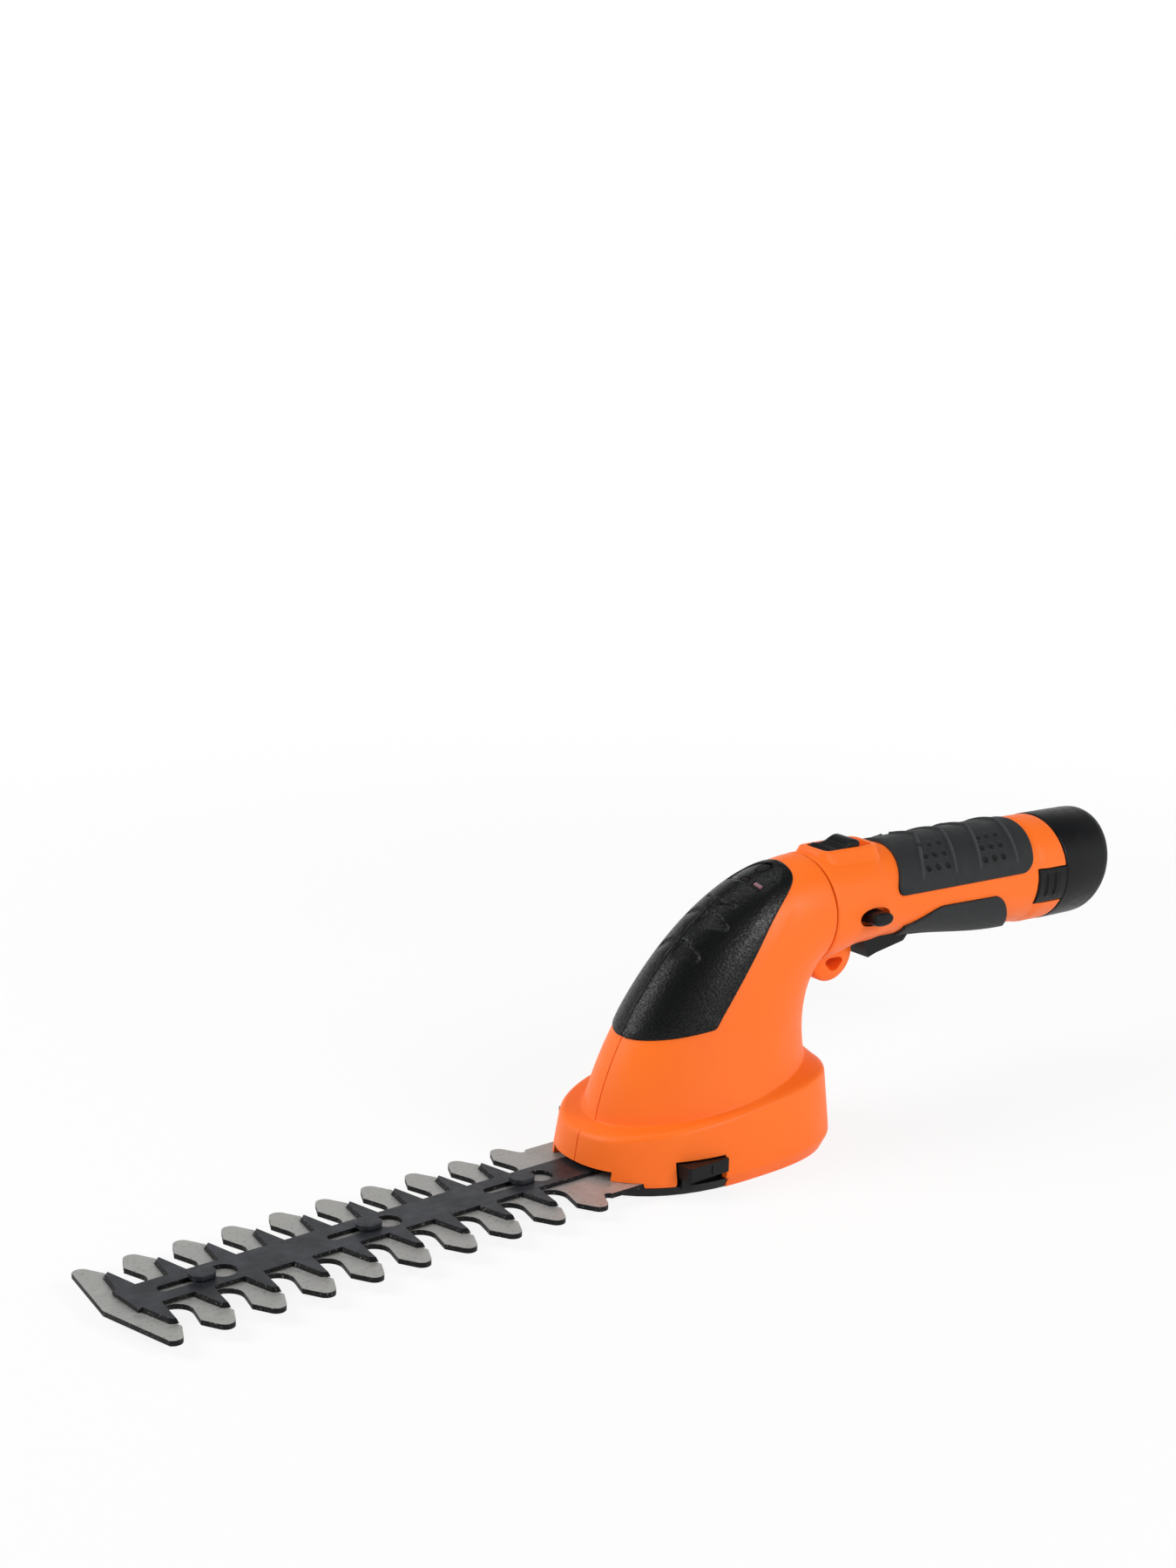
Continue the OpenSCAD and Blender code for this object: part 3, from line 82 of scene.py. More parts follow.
lightSetup = dict(horizonLevel=1.0, zenithLevel=0.04, fade=(0.22, 0.62), softboxes={
    # name: (place, aim, width, height, watts), metres
    "leftBox": ((-1.05, 0.7, 1.05), (0.0, 0.0, 0.05), 0.9, 0.9, 15),
    "topBox": ((0.2, 0.35, 1.4), (0.05, 0.0, 0.05), 1.0, 0.7, 4),
    "rightBox": ((0.4, -1.15, 0.92), (0.05, 0.0, 0.08), 0.55, 0.5, 10.5),
})


def setLights():
    for name, (place, aim, width, height, watts) in lightSetup["softboxes"].items():
        data = bpy.data.lights.new(name, "AREA")
        data.shape = "RECTANGLE"
        data.size, data.size_y, data.energy = width, height, watts
        lamp = addObject(name, data)
        lamp.location = place
        lamp.rotation_euler = (Vector(aim) - Vector(place)).to_track_quat("-Z", "Y").to_euler()


# materials

cloudSpan = (0.3, 0.7)  # most of a cloud pattern lies between these levels


def hexColour(text):
    parts = [int(text[i:i + 2], 16) / 255 for i in (1, 3, 5)]
    return tuple(c / 12.92 if c <= 0.04045 else ((c + 0.055) / 1.055) ** 2.4 for c in parts) + (1,)


def addNode(tree, kind, inputs=None, **settings):
    # an input is a socket to link, a hex colour or a plain value
    node = tree.nodes.new(kind)
    for key, value in settings.items():
        setattr(node, key, value)
    for key, value in (inputs or {}).items():
        if isinstance(value, bpy.types.NodeSocket):
            tree.links.new(value, node.inputs[key])
        else:
            node.inputs[key].default_value = hexColour(value) if isinstance(value, str) else value
    return node


def startMaterial(name, roughness, metallic=0.0, ior=1.5, specular=0.5):
    material = bpy.data.materials.new(name)
    material.use_nodes = True
    tree = material.node_tree
    shader = tree.nodes["Principled BSDF"].inputs
    for key, value in (("Roughness", roughness), ("Metallic", metallic), ("IOR", ior),
                       ("Specular IOR Level", specular)):
        shader[key].default_value = value
    addNode(tree, "ShaderNodeTexCoord", name="place")
    return material, tree


def pattern(tree, sizeMm, detail=2.0, rough=0.5, stretch=None):
    # clouds of a real size on object coordinates, drawn out where there is a stretch
    place = tree.nodes["place"].outputs["Object"]
    if stretch:
        place = addNode(tree, "ShaderNodeMapping", {"Vector": place, "Scale": stretch}).outputs["Vector"]
    return addNode(tree, "ShaderNodeTexNoise", {"Vector": place, "Scale": 1 / (sizeMm * mm), "Detail": detail,
                                                "Roughness": rough}).outputs["Fac"]


def feed(tree, socket, value):
    tree.links.new(value, tree.nodes["Principled BSDF"].inputs[socket])


def tint(tree, share, dark, light, window=None):
    # the base colour becomes a blend of two tones; a window stretches the shares between two levels
    if window:
        share = addNode(tree, "ShaderNodeMapRange", {"Value": share, "From Min": window[0],
                                                     "From Max": window[1]}).outputs["Result"]
    tone = addNode(tree, "ShaderNodeMix", {0: share, 6: dark, 7: light}, data_type="RGBA").outputs[2]
    feed(tree, "Base Color", tone)
    return tone


def vary(tree, socket, share, low, high):
    level = addNode(tree, "ShaderNodeMapRange", {"Value": share, "From Min": cloudSpan[0],
                                                 "From Max": cloudSpan[1], "To Min": low, "To Max": high})
    feed(tree, socket, level.outputs["Result"])


def raiseSkin(tree, height, depthMm, strength):
    bump = addNode(tree, "ShaderNodeBump", {"Height": height, "Strength": strength, "Distance": depthMm * mm})
    feed(tree, "Normal", bump.outputs["Normal"])


def orangeAbs():
    # ABS from a finely etched tool: even strong colour, broad soft highlights
    material, tree = startMaterial("orangeAbsMoulded", 0.46, specular=0.28)
    tint(tree, pattern(tree, 40, 1), "#fc6e1a", "#ff761f")
    vary(tree, "Roughness", pattern(tree, 6), 0.42, 0.5)
    raiseSkin(tree, pattern(tree, 0.7, 3), 0.02, 0.5)
    return material


def grainedAbs():
    # ABS from a leather-grained tool: black, with cells about 1 mm wide that sparkle in the highlights
    material, tree = startMaterial("blackAbsGrained", 0.4)
    cells = addNode(tree, "ShaderNodeTexVoronoi", {"Vector": tree.nodes["place"].outputs["Object"],
                                                   "Scale": 1 / (1.1 * mm), "Smoothness": 0.6},
                    feature="SMOOTH_F1").outputs["Distance"]
    tint(tree, pattern(tree, 1.4, 3), "#060707", "#111213")
    speckle = pattern(tree, 0.7)
    vary(tree, "Roughness", speckle, 0.44, 0.32)
    vary(tree, "Specular IOR Level", speckle, 0.08, 0.34)
    raiseSkin(tree, cells, 0.12, 0.6)
    return material


def satinAbs():
    # ABS with a fine satin skin, for buttons and the battery's cap: darker, cleaner highlights
    material, tree = startMaterial("blackAbsSatin", 0.36, specular=0.18)
    tint(tree, pattern(tree, 9), "#090a0c", "#101113")
    vary(tree, "Roughness", pattern(tree, 2.5, 3), 0.34, 0.46)
    raiseSkin(tree, pattern(tree, 0.6, 3), 0.03, 0.5)
    return material


def softRubber():
    # thermoplastic rubber moulded over the handle: dull, with painted shade in the dimples and a painted
    # highlight on the raised lines
    material, tree = startMaterial("softRubberMoulded", 0.62, ior=1.48, specular=0.25)
    relief = addNode(tree, "ShaderNodeAttribute", attribute_name="relief").outputs["Fac"]
    skin = tint(tree, pattern(tree, 12, 3), "#222425", "#2a2c2d")
    # painted shade: the dimples are darkened where the relief attribute is low
    dimpleShade = tint(tree, relief, "#0d0e0f", skin, (-1, -0.1))
    # painted highlight: the raised lines are lightened where the relief attribute is high
    tint(tree, relief, dimpleShade, "#424445", (0.1, 1))
    vary(tree, "Roughness", pattern(tree, 5, 3), 0.52, 0.7)
    raiseSkin(tree, pattern(tree, 0.8, 3), 0.03, 0.5)
    return material


def grainedRubber():
    # the same rubber with a sanded grain under the fingers
    material, tree = startMaterial("softRubberGrained", 0.7, ior=1.48, specular=0.25)
    tint(tree, pattern(tree, 1.0), "#1d1f20", "#323536")
    raiseSkin(tree, pattern(tree, 0.9), 0.16, 0.7)
    return material


def groundSteel():
    # carbon steel sheet, surface ground: pale grey, fine mottling along the grind and a few dark specks
    material, tree = startMaterial("carbonSteelGround", 0.42, 0.6)
    lines = pattern(tree, 0.8, 3, 0.6, (0.2, 1, 1))
    tone = tint(tree, lines, "#a8a8a6", "#c4c3bf")
    tint(tree, pattern(tree, 1.5, 4, 0.65), "#76746f", tone, (0.30, 0.42))
    vary(tree, "Roughness", lines, 0.36, 0.54)
    raiseSkin(tree, lines, 0.02, 0.4)
    return material


def blackOxide():
    # chemically blackened steel: blue-grey with a dull metal sheen, dusty in places
    material, tree = startMaterial("steelBlackened", 0.42, 0.5)
    tint(tree, pattern(tree, 14, 4, 0.6), "#2a2c31", "#42444a", (0.4, 0.75))
    vary(tree, "Roughness", pattern(tree, 3, 3), 0.36, 0.5)
    raiseSkin(tree, pattern(tree, 0.8, 3), 0.02, 0.4)
    return material


def stampedEdge():
    # the punched edge of blackened sheet: near black and rough, with a torn bright speckle
    material, tree = startMaterial("steelStampedEdge", 0.55, 0.4, specular=0.3)
    tint(tree, pattern(tree, 0.9, 3, 0.7), "#0c0d0f", "#8d8780", (0.60, 0.72))
    raiseSkin(tree, pattern(tree, 0.9, 3), 0.15, 0.6)
    return material


def plainFinish(name, dark, light, roughness, metallic=0.0, grainMm=1.0):
    # pieces inside the housing: moulded or turned, with a little tone and grain
    material, tree = startMaterial(name, roughness, metallic)
    grain = pattern(tree, grainMm, 3)
    tint(tree, grain, dark, light)
    raiseSkin(tree, grain, 0.03, 0.5)
    return material


def ledWindow():
    # tinted polycarbonate over a light: glossy and dim, the left window over the red light pinkish
    material, tree = startMaterial("ledWindowTinted", 0.25, ior=1.58, specular=0.3)
    place = tree.nodes["place"].outputs["Object"]
    across = addNode(tree, "ShaderNodeSeparateXYZ", {"Vector": place}).outputs["Y"]
    tint(tree, across, "#211a1c", "#7d545b", (-2.5 * mm, -5 * mm))
    vary(tree, "Roughness", pattern(tree, 1.5), 0.2, 0.34)
    return material


orange, grained, satin = orangeAbs(), grainedAbs(), satinAbs()
rubber, rubberGrain = softRubber(), grainedRubber()
ground, oxide, stamped = groundSteel(), blackOxide(), stampedEdge()
zinc = plainFinish("steelZincPlated", "#8d8f92", "#b3b5b6", 0.35, 1.0, 0.8)
nylon = plainFinish("nylonNatural", "#d8d2c0", "#e6e1d3", 0.5)
bronze = plainFinish("bronzeSintered", "#8d6a38", "#a9854c", 0.4, 1.0, 0.6)
board = plainFinish("boardGreenLacquer", "#123d22", "#1a5030", 0.35, 0.0, 4)
darkInner = plainFinish("pbtDark", "#1c1f22", "#26292c", 0.5)
cellWrap = plainFinish("cellShrinkWrap", "#1f4f7d", "#2a6397", 0.3, 0.0, 8)
contact = plainFinish("brassContact", "#b08a3c", "#c9a452", 0.3, 1.0, 0.8)
ledTint = ledWindow()
print("materials made:", len(bpy.data.materials))

# curves and grids

def signedPower(v, e):
    return (1 if v >= 0 else -1) * abs(v) ** e


def smooth(v):
    c = max(0.0, min(1.0, v))
    return c * c * (3 - 2 * c)


def bezier(p, t):
    return p[0] * (1 - t) ** 3 + p[1] * 3 * (1 - t) ** 2 * t + p[2] * 3 * (1 - t) * t * t + p[3] * t ** 3


def bezierSlope(p, t):
    d = (p[1] - p[0]) * (1 - t) ** 2 + (p[2] - p[1]) * 2 * (1 - t) * t + (p[3] - p[2]) * t * t
    return atan2(d.y, d.x)


def edgeFall(distance, edge, depth):
    # a rounded edge: how far the skin falls at this distance from it
    if distance >= edge:
        return 0.0
    w = 1 - distance / edge
    return depth * (1 - sqrt(max(0.0, 1 - w * w)))


def rimmedSteps(low, high, rim, count, both=True):
    # even steps, with closer ones for the rounded rim at the low end or at both ends
    first = low + rim[-1]
    last = high - rim[-1] if both else high
    even = [first + (last - first) * i / count for i in range(1, count)]
    return [low + d for d in rim] + even + ([high - d for d in rim[::-1]] if both else [high])


def wallGrids(rows, columns, pair):
    # pair gives a point of the skin and the point under it
    cells = [[pair(r, c) for c in columns] for r in rows]
    return [[[cell[k] for cell in row] for row in cells] for k in (0, 1)]


def sideGrids(grids, sign, place=tuple):
    # grids are drawn for the left half and mirrored for the right one
    return [[[place((x, -sign * y, z)) for x, y, z in row] for row in grid] for grid in grids]


def circlePoints(x, z, r, count=32):
    return [(x + r * cos(2 * pi * i / count), z + r * sin(2 * pi * i / count)) for i in range(count)]


def roundRect(x0, x1, y0, y1, r, steps=6):
    corners = [(x1 - r, y1 - r, 0), (x0 + r, y1 - r, 90), (x0 + r, y0 + r, 180), (x1 - r, y0 + r, 270)]
    return [(cx + r * cos(radians(a + 90 * k / steps)), cy + r * sin(radians(a + 90 * k / steps)))
            for cx, cy, a in corners for k in range(steps + 1)]


def roundCorners(path, cuts):
    # cuts: corner index to (distance, steps); each named corner becomes a smooth curve
    out = []
    for i, p in enumerate(path):
        if i not in cuts:
            out.append(p)
            continue
        distance, steps = cuts[i]
        a, b = path[i - 1] - p, path[i + 1] - p
        a, b = (p + v.normalized() * min(distance, 0.45 * v.length) for v in (a, b))
        for k in range(steps + 1):
            t = k / steps
            out.append(a * (1 - t) ** 2 + p * 2 * t * (1 - t) + b * t * t)
    return out


# mesh tools

def shade(mesh, crease):
    mesh.polygons.foreach_set("use_smooth", [True] * len(mesh.polygons))
    mesh.set_sharp_from_angle(angle=radians(crease))


def makePiece(name, points, faces, material, crease=40, fixNormals=True, relief=None):
    mesh = bpy.data.meshes.new(name)
    mesh.from_pydata([Vector(p) * mm for p in points], [], faces)
    if relief:
        mesh.attributes.new("relief", "FLOAT", "POINT").data.foreach_set("value", relief)
    if fixNormals:
        work = bmesh.new()
        work.from_mesh(mesh)
        bmesh.ops.remove_doubles(work, verts=work.verts, dist=0.001 * mm)
        bmesh.ops.recalc_face_normals(work, faces=work.faces)
        work.to_mesh(mesh)
        work.free()
    mesh.materials.append(material)
    shade(mesh, crease)
    return addObject(name, mesh)


def gridFaces(rows, cols, start=0, wrap=False):
    span = cols if wrap else cols - 1
    return [(start + r * cols + c, start + r * cols + (c + 1) % cols,
             start + (r + 1) * cols + (c + 1) % cols, start + (r + 1) * cols + c)
            for r in range(rows - 1) for c in range(span)]


def makeWall(name, outer, inner, material, crease=40, relief=None):
    # a closed wall between two grids of points with the same rows and columns
    rows, cols = len(outer), len(outer[0])
    half = rows * cols
    points = [p for row in outer for p in row] + [p for row in inner for p in row]
    faces = gridFaces(rows, cols) + [f[::-1] for f in gridFaces(rows, cols, half)]
    for c in range(cols - 1):
        for q in (c, (rows - 1) * cols + c):
            faces.append((q, q + 1, half + q + 1, half + q))
    for r in range(rows - 1):
        for q in (r * cols, r * cols + cols - 1):
            faces.append((q, q + cols, half + q + cols, half + q))
    return makePiece(name, points, faces, material, crease, relief=relief)


def makeLoft(name, rings, material, crease=40, closeEnds=True):
    # closed rings of points, each as long as the next
    count = len(rings[0])
    points = [p for ring in rings for p in ring]
    faces = gridFaces(len(rings), count, 0, True)
    if closeEnds:
        faces.append(tuple(range(count)))
        faces.append(tuple(range((len(rings) - 1) * count, len(rings) * count)))
    return makePiece(name, points, faces, material, crease)


def bake(piece, crease=40, reshade=True):
    graph = bpy.context.evaluated_depsgraph_get()
    old = piece.data
    piece.data = bpy.data.meshes.new_from_object(piece.evaluated_get(graph))
    piece.data.name = old.name
    piece.modifiers.clear()
    if reshade:
        shade(piece.data, crease)
    return piece


def cutAway(piece, cutters, crease=35):
    for cutter in cutters:
        cut = piece.modifiers.new("cut", "BOOLEAN")
        cut.operation, cut.solver, cut.object = "DIFFERENCE", "EXACT", cutter
    bake(piece, crease)
    for cutter in cutters:
        bpy.data.objects.remove(cutter)
    return piece


def boxPiece(name, low, high, material, place=tuple):
    corners = [tuple((high if i & bit else low)[k] for k, bit in enumerate((1, 2, 4))) for i in range(8)]
    faces = [(0, 1, 3, 2), (4, 6, 7, 5), (0, 4, 5, 1), (2, 3, 7, 6), (0, 2, 6, 4), (1, 5, 7, 3)]
    return makePiece(name, [place(p) for p in corners], faces, material)


def boxCutter(low, high, place=tuple):
    return boxPiece("cutter", low, high, orange, place)


def prismCutter(outline, y0, y1, place=tuple):
    # outline in X and Z, drawn out along Y
    return makeLoft("cutter", [[place((x, y, z)) for x, z in outline] for y in (y0, y1)], orange)


def joinPieces(pieces, name, crease=60):
    work = bmesh.new()
    for piece in pieces:
        work.from_mesh(piece.data)
    mesh = bpy.data.meshes.new(name)
    work.to_mesh(mesh)
    work.free()
    mesh.materials.append(pieces[0].data.materials[0])
    for piece in pieces:
        bpy.data.objects.remove(piece)
    shade(mesh, crease)
    return addObject(name, mesh)


def fit(piece, body, node=None):
    # the node that the piece stands in for and the body that it rides on
    if node:
        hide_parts(node)
    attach(piece, body)


edgeForm = dict(merge=0.002, flatAngle=0.6, edgeAngle=30, crease=35, level=0.8)


def softCopy(node, name, material, bevelMm, body, turnSides=None, segments=2):
    # a CAD solid with its edges broken; turnSides is a second finish for all but the level faces
    f = edgeForm
    mesh = nodes[node].data.copy()
    work = bmesh.new()
    work.from_mesh(mesh)
    bmesh.ops.remove_doubles(work, verts=work.verts, dist=f["merge"] * mm)
    bmesh.ops.dissolve_limit(work, angle_limit=radians(f["flatAngle"]), verts=work.verts, edges=work.edges)
    work.to_mesh(mesh)
    work.free()
    mesh.materials.clear()
    mesh.materials.append(material)
    piece = addObject(name, mesh)
    edge = piece.modifiers.new("edge", "BEVEL")
    edge.width, edge.segments, edge.limit_method = bevelMm * mm, segments, "ANGLE"
    edge.angle_limit = radians(f["edgeAngle"])
    bake(piece, f["crease"])
    # flat faces stay flat beside the bevels
    piece.modifiers.new("flatten", "WEIGHTED_NORMAL").keep_sharp = True
    bake(piece, reshade=False)
    if turnSides:
        piece.data.materials.append(turnSides)
        for face in piece.data.polygons:
            face.material_index = 0 if abs(face.normal.z) > f["level"] else 1
    fit(piece, body, node=node)
    return piece


# head: the lofted housing, in the same curves as its solids

shellLow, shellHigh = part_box("head_shell_left")
latchLow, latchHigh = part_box("blade_latch_left")
carrierLow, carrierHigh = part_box("blade_carrier")
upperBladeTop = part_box("upper_blade")[1].z / mm
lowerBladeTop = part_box("lower_blade")[1].z / mm
swivel = joints["handle_swivel"]
neck = Vector(swivel["pos_m"]) / mm
axis = Vector(swivel["axis"]).normalized()
upward = axis.cross(Vector((0, 1, 0)))
handleR = 22.3
screwHoleR = 2.55

headForm = dict(halfL=(shellHigh.x - shellLow.x) / 2 / mm, halfW=-shellLow.y / mm,
                noseN=2.25, heelN=2.9, hoodN=1.92,
                chamferH=5.5, chamferW=2.5, draft=2.4, ledge=1.5, ledgeRise=0.8, ledgeDrop=0.7,
                skirtFront=18.7, skirtRear=31.5, creasePower=0.6, footW=32.6, hoodTaper=2.3,
                footFront=(10.5, 4.5), footRear=(-2, 4),
                frontPull=(6.6, 36), rearPull=(-0.5, 10), neckPull=(-1, -8),
                wall=2.5, seamDepth=0.45, seamHalf=0.28, hoodRows=88, columns=120,
                neckTucks=((0.992, 0.05), (1, 0.4)),
                rounds={1: (1.3, 4), 2: (1.5, 4), 3: (0.9, 2), 4: (2.6, 5)})
neckTop, neckLow = neck + upward * handleR, neck - upward * handleR
hoodFootFront = Vector((-headForm["halfL"], headForm["skirtFront"])) + Vector(headForm["footFront"])
hoodFootRear = Vector((neck.x, headForm["skirtRear"])) + Vector(headForm["footRear"])
frontCurve = [hoodFootFront, hoodFootFront + Vector(headForm["frontPull"]),
              Vector((0, neckTop.z)), neckTop.xz]
rearCurve = [hoodFootRear, hoodFootRear + Vector(headForm["rearPull"]),
             neckLow.xz + Vector(headForm["neckPull"]), neckLow.xz]

# corners of the cover's edge, in X and Z
coverFrontZ = hoodFootFront.y + 32.4
coverCorner = Vector((-headForm["halfL"] + 50, coverFrontZ + 2.4))
coverShoulder = Vector((neck.x - 29, neck.z + 6.7))
coverEnd = Vector((neck.x - 13, neck.z + 18))


def planPoint(u, inset):
    f = headForm
    n = f["noseN"] if cos(u) > 0 else f["heelN"]
    return (-(f["halfL"] - inset) * signedPower(cos(u), 2 / n),
            -(f["halfW"] - inset) * signedPower(sin(u), 2 / n))


def creaseHeight(x):
    f = headForm
    along = max(0, x / (2 * f["halfL"]) + 0.5)
    return f["skirtFront"] + (f["skirtRear"] - f["skirtFront"]) * along ** f["creasePower"]


def hoodPoint(u, t, inset, drop=0):
    f = headForm
    a, b = bezier(frontCurve, t), bezier(rearCurve, t)
    m, d = (a + b) / 2, (a - b) / 2
    scale = 1 - inset / d.length
    c, s = signedPower(cos(u), 2 / f["hoodN"]), signedPower(sin(u), 2 / f["hoodN"])
    width = handleR + (f["footW"] - handleR) * (1 - t) ** f["hoodTaper"]
    return Vector((m.x + d.x * scale * c, -(width - inset) * s, m.y + d.y * scale * c - drop))


def hoodNormal(u, t):
    e = 0.004
    du = hoodPoint(u + e, t, 0) - hoodPoint(u - e, t, 0)
    dt = hoodPoint(u, min(1, t + e), 0) - hoodPoint(u, t - e, 0)
    n = du.cross(dt).normalized()
    return n if n.dot(hoodPoint(u, t, -1) - hoodPoint(u, t, 0)) > 0 else -n


flankForm = dict(sink=0.45, stripW=4.8, stripFall=1.5, fade=(12, 22), start=(0.12, 0.25), stop=(1.3, 0.35))


def flankSink(p):
    # the flank lies a little lower behind a strip along the cover's rear edge, so that a soft crease shows
    f = flankForm
    run = coverShoulder - coverCorner
    way = Vector((p.x, p.z)) - coverCorner
    along = way.dot(run) / run.length_squared
    behind = (way.x * run.y - way.y * run.x) / run.length
    (ahead, startRun), (stop, stopRun), (fade, fadeRun) = f["start"], f["stop"], f["fade"]
    lengthwise = smooth((along + ahead) / startRun) * smooth((stop - along) / stopRun)
    crosswise = smooth((behind - f["stripW"]) / f["stripFall"]) * (1 - smooth((behind - fade) / fadeRun))
    return f["sink"] * crosswise * lengthwise


def headProfile(u, inset, seamInset=0.0, sideShift=0.0):
    # from the rest plane up the chamfer, the skirt, the crease and the ledge to the swivel neck
    f = headForm
    drop = f["wall"] if inset > 0 else 0
    whole = inset + seamInset
    path = [Vector((*planPoint(u, f["chamferW"] + whole), 0)), Vector((*planPoint(u, whole), f["chamferH"]))]
    for extra, rise in ((0, 0), (f["ledge"], f["ledgeRise"] * f["ledge"])):
        x, y = planPoint(u, f["draft"] + extra + whole)
        path.append(Vector((x, y, creaseHeight(x) + rise - drop)))
    rows = f["hoodRows"]
    for t, tuck in [(i / rows, 0) for i in range(rows)] + list(f["neckTucks"]):
        p = hoodPoint(u, t, whole + (tuck if drop == 0 else 0), f["ledgeDrop"] * drop if t == 0 else 0)
        sink = 0 if drop else flankSink(p)
        path.append(p - hoodNormal(u, t) * sink if sink > 0.001 else p)
    path = roundCorners(path, f["rounds"])
    for p in path:
        p.y -= sideShift
    return path


def seamColumns(count):
    # a groove at each end, where the two halves meet
    f = headForm
    inner = [(pi * i / count, 0, 0) for i in range(1, count)]
    return ([(0, f["seamDepth"], 0), (0, 0, f["seamHalf"])] + inner
            + [(pi, 0, f["seamHalf"]), (pi, f["seamDepth"], 0)])


headScrews = [(-16, 39), (26, 48.4), (30.5, 86.4), (36, 14)]
openingForm = dict(past=2, frontRun=22, bedHalf=60, bedGap=0.3, bedRise=4.15, tangHalf=26.4, tangGap=0.15,
                   yokeHalf=17, yokeGap=1.8, latchY=(27.5, 70), latchGap=(0.6, 0.5), coverLap=1.4,
                   footRun=27, footRise=1.6, above=50, screwY=(5, 60))


def makeHeadShells():
    f = openingForm
    columns = seamColumns(headForm["columns"])
    outer = [list(row) for row in zip(*[headProfile(u, 0, s, y) for u, s, y in columns])]
    inner = [list(row) for row in zip(*[headProfile(u, headForm["wall"], 0, y) for u, s, y in columns])]
    far = headForm["halfL"] + f["past"]
    lap, frontEnd = f["coverLap"], f["frontRun"] - far
    coverHole = [(-far, coverFrontZ - lap), (-far + f["footRun"], coverFrontZ + f["footRise"])]
    coverHole += [(p.x - lap, p.y + lap) for p in (coverCorner, coverShoulder, coverEnd)]
    coverHole += [(coverEnd.x, neck.z + f["above"]), (-far, neck.z + f["above"])]
    # half width, underside, rear end and top: the carrier's bed, the lower blade's slot, the upper blade's
    openings = [(f["bedHalf"], -1, carrierHigh.x / mm + f["bedGap"], carrierLow.z / mm + f["bedRise"]),
                (f["tangHalf"], -0.5, frontEnd, lowerBladeTop + f["tangGap"]),
                (f["yokeHalf"], -0.4, frontEnd, upperBladeTop + f["yokeGap"])]
    for side, sign in sides:
        shell = makeWall("headShell_" + side, *sideGrids((outer, inner), sign), orange)
        cutters = [boxCutter((-far, -half, low), (rear, half, top)) for half, low, rear, top in openings]
        cutters.append(prismCutter(coverHole, -f["above"], f["above"]))
        y0, y1 = sorted(sign * y for y in f["latchY"])
        before, behind = f["latchGap"]
        cutters.append(boxCutter((latchLow.x / mm - before, y0, -2),
                                 (latchHigh.x / mm + behind, y1, latchHigh.z / mm + behind)))
        if sign > 0:
            cutters += [prismCutter(circlePoints(x, z, screwHoleR), *f["screwY"]) for x, z in headScrews]
        cutAway(shell, cutters)
        fit(shell, "head", "head_shell_" + side)


# hood cover with the battery gauge

coverForm = dict(proud=0.85, rows=200, cols=76, bandW=5.5, bandDrop=0.5, footShare=0.4, flankRun=0.04,
                 fallMost=1.2,
                 wedges=[(-15.2, -6.7, -9.5, -6.5, 12.0), (-5.7, 6.3, 5.6, 7.3, 13.0),
                         (7.0, 11.1, 13.4, 14.5, 9.0)],
                 wedgeDepth=1.05, wedgeStep=0.6, wedgeTip=0.15, wedgeClear=0.8,
                 panel=(22.3, 38.2, 10.8), panelDepth=0.55, panelBow=2.4, panelArch=5.5, panelEdge=0.7,
                 overlap=1.2, footRun=12, footRise=0.2, footRows=0.33, ends=(0.003, 0.994),
                 seam=0.55, seamHalf=0.22, rimMost=0.3,
                 footRound=(8, 8), cornerRound=(1.3, 8), shoulderRound=(9, 10), endRound=(5, 12),
                 rimW=0.9, rim=((1, 0), (0.55, 0.08), (0.2, 0.26), (0, 0.6), (0, 1.6)))  # share of rimW, tuck
gaugeForm = dict(buttonT=0.872, button=(6.8, 4.6), gap=0.5, buttonDrop=0.45, buttonShare=0.755, stemFrom=-2.9,
                 ledT=0.81, led=(2.2, 4.0), ledGap=0.15, ledPitch=6.5, lens=(1.7, 3.3), lensDrop=0.12,
                 lensDeep=3.0, through=8)


def hoodParameters(x, z):
    # curve position and angle on the hood of a point in X and Z, by halving
    low, high = 0.0, 1.0
    for _ in range(30):
        t = (low + high) / 2
        a, b = bezier(frontCurve, t), bezier(rearCurve, t)
        if (b.x - a.x) * (z - a.y) - (b.y - a.y) * (x - a.x) > 0:
            low = t
        else:
            high = t
    a, b = bezier(frontCurve, low), bezier(rearCurve, low)
    m, d = (a + b) / 2, (a - b) / 2
    c = max(-1, min(1, (Vector((x, z)) - m).dot(d) / d.length_squared))
    return acos(signedPower(c, headForm["hoodN"] / 2)), low


def coverRelief(p):
    # depth below the cover's skin: ribbed wedges and the gauge's panel
    f = coverForm
    x, y = p.x, abs(p.y)
    depth, clear = 0.0, f["wedgeClear"]
    for a, b, lowTip, highTip, reach in f["wedges"]:
        k = y / reach
        start, end = a + (lowTip - a) * k, b + (highTip - b) * k
        if k < 1 and y > clear and start < x < end:
            ramp = (x - start) / (end - start)
            wall = smooth((end - x) / f["wedgeStep"])
            ends = smooth((1 - k) / f["wedgeTip"]) * smooth((y - clear) / clear)
            depth = max(depth, f["wedgeDepth"] * ramp * wall * ends)
    x0, x1, half = f["panel"]
    frontX = x0 + f["panelBow"] * (y / half) ** 2
    archX = x1 - f["panelArch"] * (1 - sqrt(max(0, 1 - (y / half) ** 2)))
    inside = [smooth(gap / f["panelEdge"]) for gap in (x - frontX, archX - x, half - y)]
    return max(depth, f["panelDepth"] * inside[0] * inside[1] * inside[2])


def curveShare(reached):
    # the first place on the front curve where the test holds
    t = 0.0
    while not reached(bezier(frontCurve, t)):
        t += 0.001
    return t


